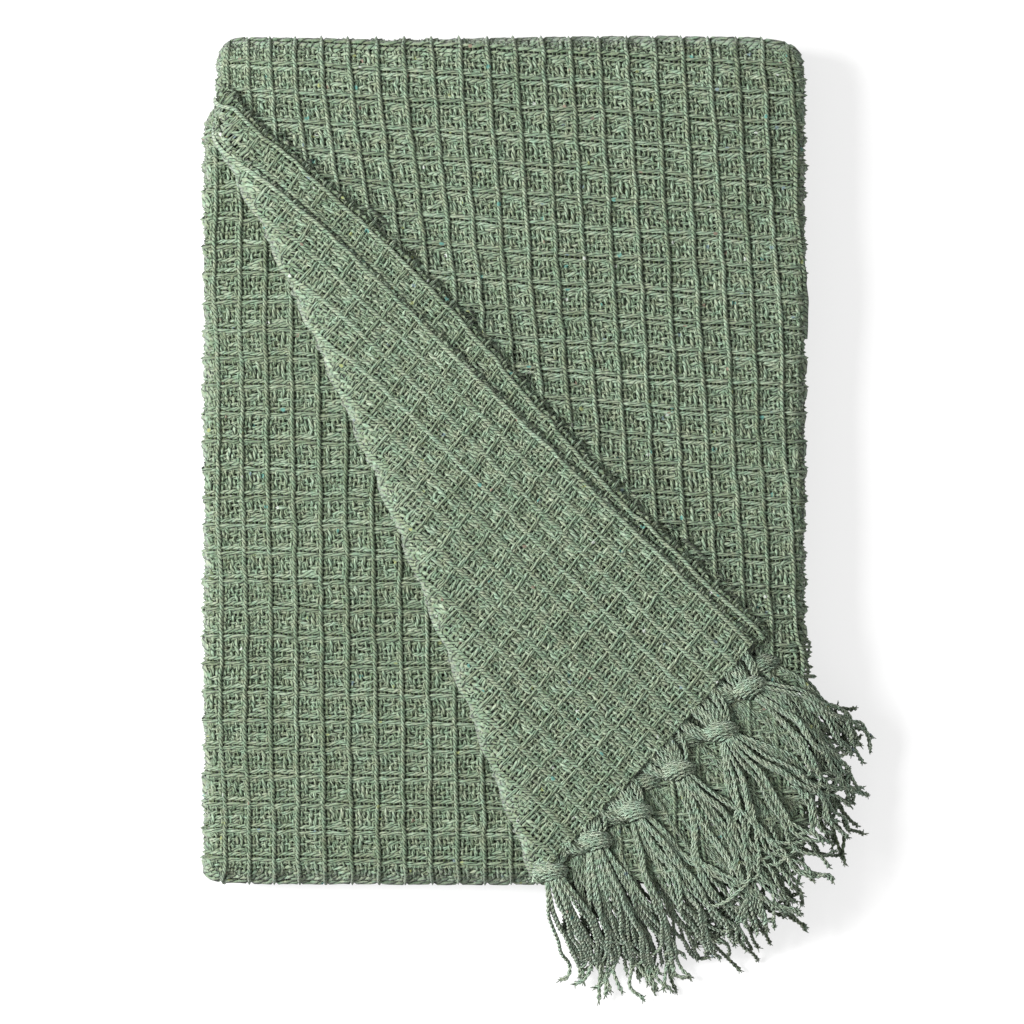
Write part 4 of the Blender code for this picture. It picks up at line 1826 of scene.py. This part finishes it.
@dataclass(frozen=True)
class Knot:
    """Rings of strand round a tassel, the middle one the largest.

    Args:
        slant, sway: how far a ring leans along the tassel, and the knot's turn in radians.
        taper, barrel: share by which the end rings are smaller, and the power of its growth.
        uneven: share by which the rings differ.
        twist: thickness, winding and pitch of the strand.
    """

    wraps: int = 7
    pitch: float = 0.00160
    half_width: float = 0.0076
    half_height: float = 0.0060
    slant: float = 0.0040
    taper: float = 0.42
    barrel: float = 2.2
    uneven: float = 0.05
    sway: float = 0.12
    twist: tuple[float, float, float] = (0.00080, 0.00064, 0.0070)


@dataclass(frozen=True)
class Gather:
    """Warp ends that leave the cloth's end and close in on a knot.

    Args:
        ends, twist: their number, and the thickness, winding and pitch of each.
        reach, inside: how far beside the knot and inside the cloth's end they start.
        stray, stray_middle: stray of their places there and half way, as shares.
        rise, deep: height of the uppermost above the row, and of the lowest below that.
        middle, middle_stray: how far out they are half way, as a share, and its stray.
        arch, sag: their rise half way, and its fall towards the outer ones.
        half_width, past, dome: how far beside and past the knot's centre they end, and how much
            higher the middle ones do.
    """

    ends: int = 19
    reach: float = 0.0140
    stray: float = 0.16
    stray_middle: float = 0.25
    inside: float = 0.0030
    rise: float = 0.0034
    deep: float = 0.0026
    middle: float = 0.55
    middle_stray: float = 0.0024
    arch: float = 0.0006
    sag: float = 0.0010
    half_width: float = 0.0040
    past: float = 0.0015
    dome: float = 0.0016
    twist: tuple[float, float, float] = (0.00086, 0.00070, 0.0070)


@dataclass(frozen=True)
class Tuft:
    """Fine fibres that open out from a strand's end.

    Args:
        length, root, tip: range of their lengths, and their half thickness at both ends.
        spread, grain: how far they turn away, and the length of yarn that their twist spans.
    """

    fibres: int = 5
    length: tuple[float, float] = (0.0016, 0.0034)
    root: float = 0.00055
    tip: float = 0.00022
    spread: float = 0.50
    grain: float = 0.004


@dataclass
class KnottedFringe:
    """Rows of knotted tassels along the turned corner's end.

    Warp ends are gathered from the cloth into each knot, wrap it, and leave it as two-ply
    strands that fan out over the flap, fall over the pile's edges and end frayed.

    Args:
        bundle_size, bundle_waves: strands in a bundle, and turns and radians of its waves.
        strand_waves, loose_share, curl: the same for one strand, and how many tips curl and how
            far in radians.
        lengths: range of the strands' lengths, as shares of the tassel's.
        opening, closing: share of the fan at the knot, and how much less it is at the tip.
        waist, clear: how far beside and ahead of the knot's centre the strands start.
        thickness, flattened: height of the bundle, and how much less it is at the tip.
        ripple, landing: waves in the strands' height, and the share in which they come down.
        fall_reach: distance beyond the pile's edge at which they reach the floor.
        strand_shade, gather_shade, wrap_shade: how far single strands' shades stray.
        fray: how much further apart a strand's yarns are at its tip, as a share.
    """

    pile: FoldedPile
    rows: tuple[TasselRow, ...] = (TOP_ROW, UNDER_ROW, LOW_ROW)
    points: int = 78
    bundle_size: float = 4.0
    bundle_waves: tuple[tuple[float, float], ...] = ((0.8, 0.30), (1.7, 0.50), (2.9, 0.42))
    strand_waves: tuple[tuple[float, float], ...] = ((1.3, 0.20), (3.4, 0.38), (6.5, 0.36))
    lengths: tuple[float, float] = (0.84, 1.06)
    loose_share: float = 0.28
    curl: float = 3.2
    opening: float = 1.30
    closing: float = 0.6
    waist: float = 0.0044
    clear: float = 0.004
    thickness: float = 0.0060
    flattened: float = 0.0012
    ripple: float = 0.0010
    landing: float = 0.30
    fall_reach: float = 0.048
    strand_radius: float = 0.0012
    strand_shade: float = 0.6
    gather_shade: float = 0.3
    wrap_shade: tuple[float, float] = (-0.2, 0.4)
    fray: float = 0.7
    knot: Knot = Knot()
    gather: Gather = Gather()
    tuft: Tuft = Tuft()

    def spot(self, place: Array, outward: Array, height: Array) -> Array:
        """Spots beyond the turned corner's end.

        Args:
            place: distance along the end, from the diagonal fold.
            outward: distance out from the end.
            height: height before the pile settles.

        Returns:
            The spots after the turn, the bow and the settling.
        """
        pile = self.pile
        place, outward, height = np.broadcast_arrays(place, outward, height)
        crossing = pile.apex[0] + (pile.apex[1] - pile.flap_end) * math.tan(pile.diagonal)
        level = np.full(place.shape, pile.flap_base)
        flat = np.stack([crossing - place, np.full(place.shape, pile.flap_end), level], axis=-1)
        turned = pile.turn_over(flat, pile.outer_roll)
        turn = 2.0 * pile.diagonal
        x = turned[..., 0] + outward * math.sin(turn)
        y = turned[..., 1] - outward * math.cos(turn)
        return pile.soften(np.stack([x, y, height], axis=-1), True)

    def bed(self, x: Array, y: Array) -> Array:
        """Height that holds a strand up: the pile's top, then a fall past its edges.

        Beyond an edge the height drops by a power of one and a half of the distance.

        Args:
            x, y: places seen from above.

        Returns:
            The height at each.
        """
        pile = self.pile
        beyond = np.maximum(np.maximum(x - pile.right, pile.bottom - y), 0.0)
        inside_x = np.clip(x, pile.left, pile.right)
        inside_y = np.clip(y, pile.bottom, pile.top)
        top = pile.height * pile.crown(inside_x, inside_y)
        return top * np.maximum(0.0, 1.0 - (beyond / self.fall_reach) ** 1.5)

    def knot_centre(self, row: TasselRow, tassel: Tassel) -> Array:
        """Centre of a tassel's knot."""
        top = self.pile.flap_base + self.pile.bend_reach + self.pile.stack
        return self.spot(tassel.place, tassel.outward, top - row.level)

    def strand_paths(self, row: TasselRow, tassel: Tassel, rng: Rng) -> Array:
        """Centre paths of one tassel's strands.

        A strand's direction at each step is the tassel's heading, plus its share of the fan,
        the tassel's bend and a few slow waves that grow towards the tip; the path is the sum of
        the steps. Its height is that of its bed plus its layer in the bundle.

        Args:
            row: the tassel's row.
            tassel: where it sits and how its strands leave it.
            rng: seeded random source.

        Returns:
            The paths, shaped (strands, points, 3).
        """
        count, points = tassel.strands, self.points
        start = self.knot_centre(row, tassel)
        t = np.linspace(0.0, 1.0, points)[None, :]
        bundles = max(3, round(count / self.bundle_size))
        member = rng.permutation(count) % bundles
        within = rng.uniform(-1.0, 1.0, (count, 1))
        place = rng.permutation(bundles) + rng.uniform(0.2, 0.8, bundles)
        share = (place[member] / bundles * 2.0 - 1.0)[:, None]
        drift = 1.0 + 0.9 * np.sin(2.0 * math.pi * (0.9 * t + rng.uniform(0.0, 1.0, (count, 1))))
        share = share + within * (0.8 / bundles) * drift
        layer = rng.uniform(0.0, 1.0, bundles)[member][:, None] * 0.7
        layer = layer + rng.uniform(0.0, 0.3, (count, 1)) - 0.5
        length = tassel.length * rng.uniform(*self.lengths, (count, 1))
        wave = self.waves(t, bundles, member, rng)
        loose = rng.uniform(0.0, 1.0, (count, 1)) < self.loose_share
        curl = np.where(loose, rng.uniform(-self.curl, self.curl, (count, 1)), 0.0)
        fan = math.radians(tassel.fan) * share * (self.opening - self.closing * t)
        heading = -math.radians(tassel.heading)
        angle = heading - math.radians(tassel.bend) * t + fan + wave
        angle = angle + curl * smoothstep(t, 0.55, 1.0)
        step = length / (points - 1)
        ahead = np.array([math.cos(heading), math.sin(heading)])
        beside = np.array([-ahead[1], ahead[0]])
        foot = start[:2] + self.clear * ahead
        x = foot[0] + share * self.waist * beside[0] + np.cumsum(np.cos(angle) * step, axis=1)
        y = foot[1] + share * self.waist * beside[1] + np.cumsum(np.sin(angle) * step, axis=1)
        lying = self.bed(x, y) + row.rest + layer * (self.thickness - self.flattened * t)
        lying = lying + self.ripple * np.sin(9.0 * t + 6.0 * (layer + 0.5))
        oval = np.sqrt(1.0 - 0.8 * np.clip(share, -1.0, 1.0) ** 2)
        bundle = start[2] + layer * self.thickness * oval
        z = bundle + (lying - bundle) * smoothstep(t, 0.0, self.landing)
        z = np.maximum(z, self.strand_radius + 0.0002)
        return self.trimmed(np.stack([x, y, z], axis=-1), length[:, 0])

    def waves(self, t: Array, bundles: int, member: Array, rng: Rng) -> Array:
        """Waves in the strands' directions: sums of sines that grow towards the tip.

        Args:
            t: way along the strands, from 0 to 1.
            bundles: number of bundles.
            member: which bundle each strand is in.
            rng: seeded random source.

        Returns:
            The turn of each strand in radians, shaped (strands, points).
        """
        wave = np.zeros((len(member), t.shape[1]))
        for turns, size in self.bundle_waves:
            phase = rng.uniform(0.0, 2.0 * math.pi, bundles)[member][:, None]
            grow = size * rng.uniform(0.3, 1.0, bundles)[member][:, None] * t ** 0.8
            wave += grow * np.sin(2.0 * math.pi * turns * t + phase)
        for turns, size in self.strand_waves:
            phase = rng.uniform(0.0, 2.0 * math.pi, (len(member), 1))
            grow = size * rng.uniform(0.3, 1.0, (len(member), 1)) * t
            wave += grow * np.sin(2.0 * math.pi * turns * t + phase)
        return wave

    def trimmed(self, paths: Array, length: Array) -> Array:
        """Paths cut to their length along the strand, and evenly spaced again.

        Args:
            paths: the paths.
            length: each one's length.

        Returns:
            The shorter paths, with as many points.
        """
        step = np.linalg.norm(np.diff(paths, axis=1), axis=-1)
        along = np.concatenate([np.zeros((len(step), 1)), np.cumsum(step, axis=1)], axis=1)
        result = np.empty_like(paths)
        for k, path in enumerate(paths):
            wanted = np.linspace(0.0, min(length[k], along[k, -1]), paths.shape[1])
            result[k] = np.stack([np.interp(wanted, along[k], path[:, axis]) for axis in range(3)],
                                 axis=-1)
        return result

    def wrap_paths(self, row: TasselRow, tassel: Tassel, rng: Rng) -> Array:
        """Rings of strand round a knot.

        Each is an ellipse across the tassel, smaller towards both ends of the knot and slanted
        along it. The knot points half way between the tassel's heading and straight out from the
        cloth's end.

        Args:
            row: the tassel's row.
            tassel: the tassel whose knot it is.
            rng: seeded random source.

        Returns:
            The rings' paths, shaped (rings, points, 3).
        """
        knot = self.knot
        straight = math.pi / 2 - 2.0 * self.pile.diagonal
        turn = -(math.radians(tassel.heading) + straight) / 2 + rng.uniform(-knot.sway, knot.sway)
        ahead = np.array([math.cos(turn), math.sin(turn), 0.0])
        beside = np.array([-math.sin(turn), math.cos(turn), 0.0])
        middle = (knot.wraps - 1) / 2
        number = np.arange(knot.wraps)[:, None] - middle
        size = 1.0 - knot.taper * (np.abs(number) / middle) ** knot.barrel
        size = size + rng.uniform(-knot.uneven, knot.uneven, number.shape)
        phase = np.linspace(0.0, 2.0 * math.pi, 25)[None, :]
        along = number * knot.pitch + knot.slant * size * np.cos(phase + 0.5)
        across = knot.half_width * size * np.cos(phase)
        height = knot.half_height * size * np.sin(phase)
        return (self.knot_centre(row, tassel) + along[..., None] * ahead
                + across[..., None] * beside + height[..., None] * np.array([0.0, 0.0, 1.0]))

    def gather_paths(self, row: TasselRow, tassel: Tassel, rng: Rng) -> Array:
        """Warp ends that leave the cloth's end and close in on a knot.

        Each is a curve with three control places: on the cloth, a little way straight out from
        it, and in the knot.

        Args:
            row: the tassel's row.
            tassel: the tassel whose knot it is.
            rng: seeded random source.

        Returns:
            The ends' paths, shaped (ends, points, 3).
        """
        gather, count = self.gather, self.gather.ends
        share = np.linspace(-1.0, 1.0, count) + rng.uniform(-gather.stray, gather.stray, count)
        top = self.pile.flap_base + self.pile.bend_reach + self.pile.stack
        level = top - row.level + gather.rise - gather.deep * rng.uniform(0.0, 1.0, count)
        start = self.spot(tassel.place + share * gather.reach, -gather.inside, level + 0.0002)
        aside = rng.uniform(-gather.stray_middle, gather.stray_middle, count)
        out = gather.middle * tassel.outward + rng.uniform(0.0, gather.middle_stray, count)
        middle = self.spot(tassel.place + (share * 0.82 + aside) * gather.reach, out,
                           level + gather.arch - gather.sag * np.abs(share))
        dome = gather.dome * (1.0 - np.clip(share, -1.0, 1.0) ** 2)
        finish = self.spot(tassel.place + share * gather.half_width, tassel.outward + gather.past,
                           self.knot_centre(row, tassel)[2] + dome)
        t = np.linspace(0.0, 1.0, 16)[None, :, None]
        start, middle, finish = start[:, None], middle[:, None], finish[:, None]
        return (1 - t) ** 2 * start + 2 * t * (1 - t) * middle + t ** 2 * finish

    def tufts(self, paths: Array, rng: Rng) -> TubeSet:
        """Fine fibres that open out from each strand's end.

        Args:
            paths: the strands' paths.
            rng: seeded random source.

        Returns:
            The fibres as thin tubes.
        """
        tuft = self.tuft
        tip = np.repeat(paths[:, -1], tuft.fibres, axis=0)
        ahead = np.repeat(unit(paths[:, -1] - paths[:, -4]), tuft.fibres, axis=0)
        spread = rng.normal(0.0, tuft.spread, ahead.shape)
        length = rng.uniform(*tuft.length, (len(tip), 1, 1))
        t = np.linspace(-0.3, 1.0, 5)[None, :, None]
        centre = tip[:, None] + t * length * unit(ahead + spread)[:, None]
        centre[..., 2] = np.maximum(centre[..., 2], 0.0005)
        shape = centre.shape[:2]
        radius = np.broadcast_to(np.linspace(tuft.root, tuft.tip, 5), shape)
        up = np.broadcast_to(np.array([0.13, 0.21, 1.0]), centre.shape)
        tone = np.broadcast_to(rng.uniform(-0.2, 0.5, (len(tip), 1)), shape)
        return TubeSet(centre, up, np.ones(shape, bool), radius, radius, tone,
                       np.broadcast_to(t[..., 0] * tuft.grain, shape))

    def build(self, material: Material) -> list[Item]:
        """Make the tassels, knots and gathers of each row, and the frayed ends.

        Args:
            material: the strands' finish.

        Returns:
            The pieces, the top row's tassels first.
        """
        items = []
        ends = []
        for row in self.rows:
            strands, knots = [], []
            for number, tassel in enumerate(row.tassels, start=1):
                rng = np.random.default_rng(row.seed + number)
                paths = self.strand_paths(row, tassel, rng)
                tone = row.tone + rng.uniform(-self.strand_shade, self.strand_shade, len(paths))
                strands += StrandSet(paths, tone, fray=self.fray, seed=row.seed + number).tubes()
                ends.append(self.tufts(paths, rng))
                wraps = self.wrap_paths(row, tassel, rng)
                tone = row.tone + rng.uniform(*self.wrap_shade, len(wraps))
                knots += StrandSet(wraps, tone, *self.knot.twist, seed=number).tubes()
                gathers = self.gather_paths(row, tassel, rng)
                tone = row.tone + rng.uniform(-self.gather_shade, self.gather_shade, len(gathers))
                knots += StrandSet(gathers, tone, *self.gather.twist, seed=number + 50).tubes()
            items.append(self.piece(f"{row.name}_tassels", strands, material))
            items.append(self.piece(f"{row.name}_knots", knots, material))
        items.append(self.piece("frayed_ends", ends, material))
        return items

    def piece(self, name: str, tubes: list[TubeSet], material: Material) -> Item:
        """One piece from many tube sets.

        Args:
            name: the piece's name.
            tubes: its tube sets.
            material: its finish.

        Returns:
            The piece.
        """
        mesh = MeshArrays.joined([tube.arrays() for tube in tubes]).mesh(name)
        item = dress(link_mesh(name, mesh, material))
        log.info("%s: %d triangles", name, sum(len(p.vertices) - 2 for p in mesh.polygons))
        return item


# ---- the setting ---------------------------------------------------------------------------------

@dataclass(frozen=True)
class Softbox:
    """A square soft light aimed at the blanket: its name, place, edge length and power."""

    name: str
    place: tuple[float, float, float]
    size: float
    power: float


@dataclass
class Studio:
    """A plain pale floor, soft studio light and a camera straight above the blanket.

    Args:
        pile: the folded shape.
        aim_x, aim_y: the spot that the camera looks at, from the pile's lower left corner.
        field_width, field_level: width of what it sees, and the height at which it sees it.
        lights, light_aim: the soft lights, and the spot that they are aimed at.
        air: strength of the light from all round.
    """

    pile: FoldedPile
    aim_x: float = 0.1669
    aim_y: float = 0.2018
    camera_height: float = 1.95
    field_width: float = 0.5529
    field_level: float = 0.050
    sensor: float = 0.036
    floor_size: float = 8.0
    lights: tuple[Softbox, ...] = (
        Softbox("key_softbox", (-1.40, 0.22, 1.45), 0.75, 77.5),
        Softbox("fill_softbox", (1.2, -1.1, 1.8), 2.2, 8.0),
        Softbox("top_softbox", (-0.2, 0.2, 2.6), 2.6, 16.0),
    )
    light_aim: tuple[float, float, float] = (0.0, 0.0, 0.03)
    air: float = 0.26

    def build(self) -> None:
        """Make the floor, the lights and the camera."""
        self.floor()
        for light in self.lights:
            self.light(light)
        world = bpy.data.worlds.new("studio_air")
        world.use_nodes = True
        world.node_tree.nodes["Background"].inputs["Color"].default_value = WHITE
        world.node_tree.nodes["Background"].inputs["Strength"].default_value = self.air
        bpy.context.scene.world = world
        bpy.context.scene.view_settings.view_transform = "Standard"
        self.camera()

    def floor(self) -> None:
        """A wide flat floor just under the blanket."""
        half = self.floor_size / 2
        mesh = bpy.data.meshes.new("studio_floor")
        mesh.from_pydata([(-half, -half, 0.0), (half, -half, 0.0), (half, half, 0.0),
                          (-half, half, 0.0)], [], [(0, 1, 2, 3)])
        mesh.update()
        link_mesh("studio_floor", mesh, PaleFloor().material())

    def light(self, light: Softbox) -> None:
        """Make a soft light and turn it so that it looks at the lights' aim.

        Args:
            light: its name and sizes.
        """
        lamp = bpy.data.lights.new(light.name, "AREA")
        lamp.shape = "SQUARE"
        lamp.size = light.size
        lamp.energy = light.power
        item = bpy.data.objects.new(light.name, lamp)
        item.location = light.place
        x, y, z = np.array(self.light_aim) - np.array(light.place)
        tilt, heading = math.atan2(math.hypot(x, y), -z), math.atan2(y, x)
        item.rotation_euler = (tilt, 0.0, heading - math.pi / 2)
        bpy.context.scene.collection.objects.link(item)

    def camera(self) -> None:
        """A camera that looks straight down, with its field set at the upper face's height."""
        data = bpy.data.cameras.new("overhead_camera")
        data.sensor_width = self.sensor * 1000.0
        data.lens = data.sensor_width * (self.camera_height - self.field_level) / self.field_width
        data.clip_end = 20.0
        item = bpy.data.objects.new("overhead_camera", data)
        item.location = (self.pile.left + self.aim_x, self.pile.bottom + self.aim_y,
                         self.camera_height)
        bpy.context.scene.collection.objects.link(item)
        bpy.context.scene.camera = item


def main() -> None:
    """Build the blanket's pieces and its setting, and hide the imported parts that they stand in
    for.
    """
    logging.basicConfig(level=logging.INFO, format="%(name)s %(message)s")
    low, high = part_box("waffle_cloth")
    pile = FoldedPile(left=low.x, bottom=low.y, length=high.y - low.y)
    Studio(pile).build()
    ground = WaffleGround().material("waffle_ground")
    yarn = SageCotton().material("sage_yarn")
    sheet = FoldedSheet(pile).build(ground)
    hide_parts("waffle_cloth")
    woven = WovenFaces(pile).build(yarn)
    fringe = KnottedFringe(pile).build(yarn)
    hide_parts("knotted_fringe")


if __name__ == "__main__":
    main()
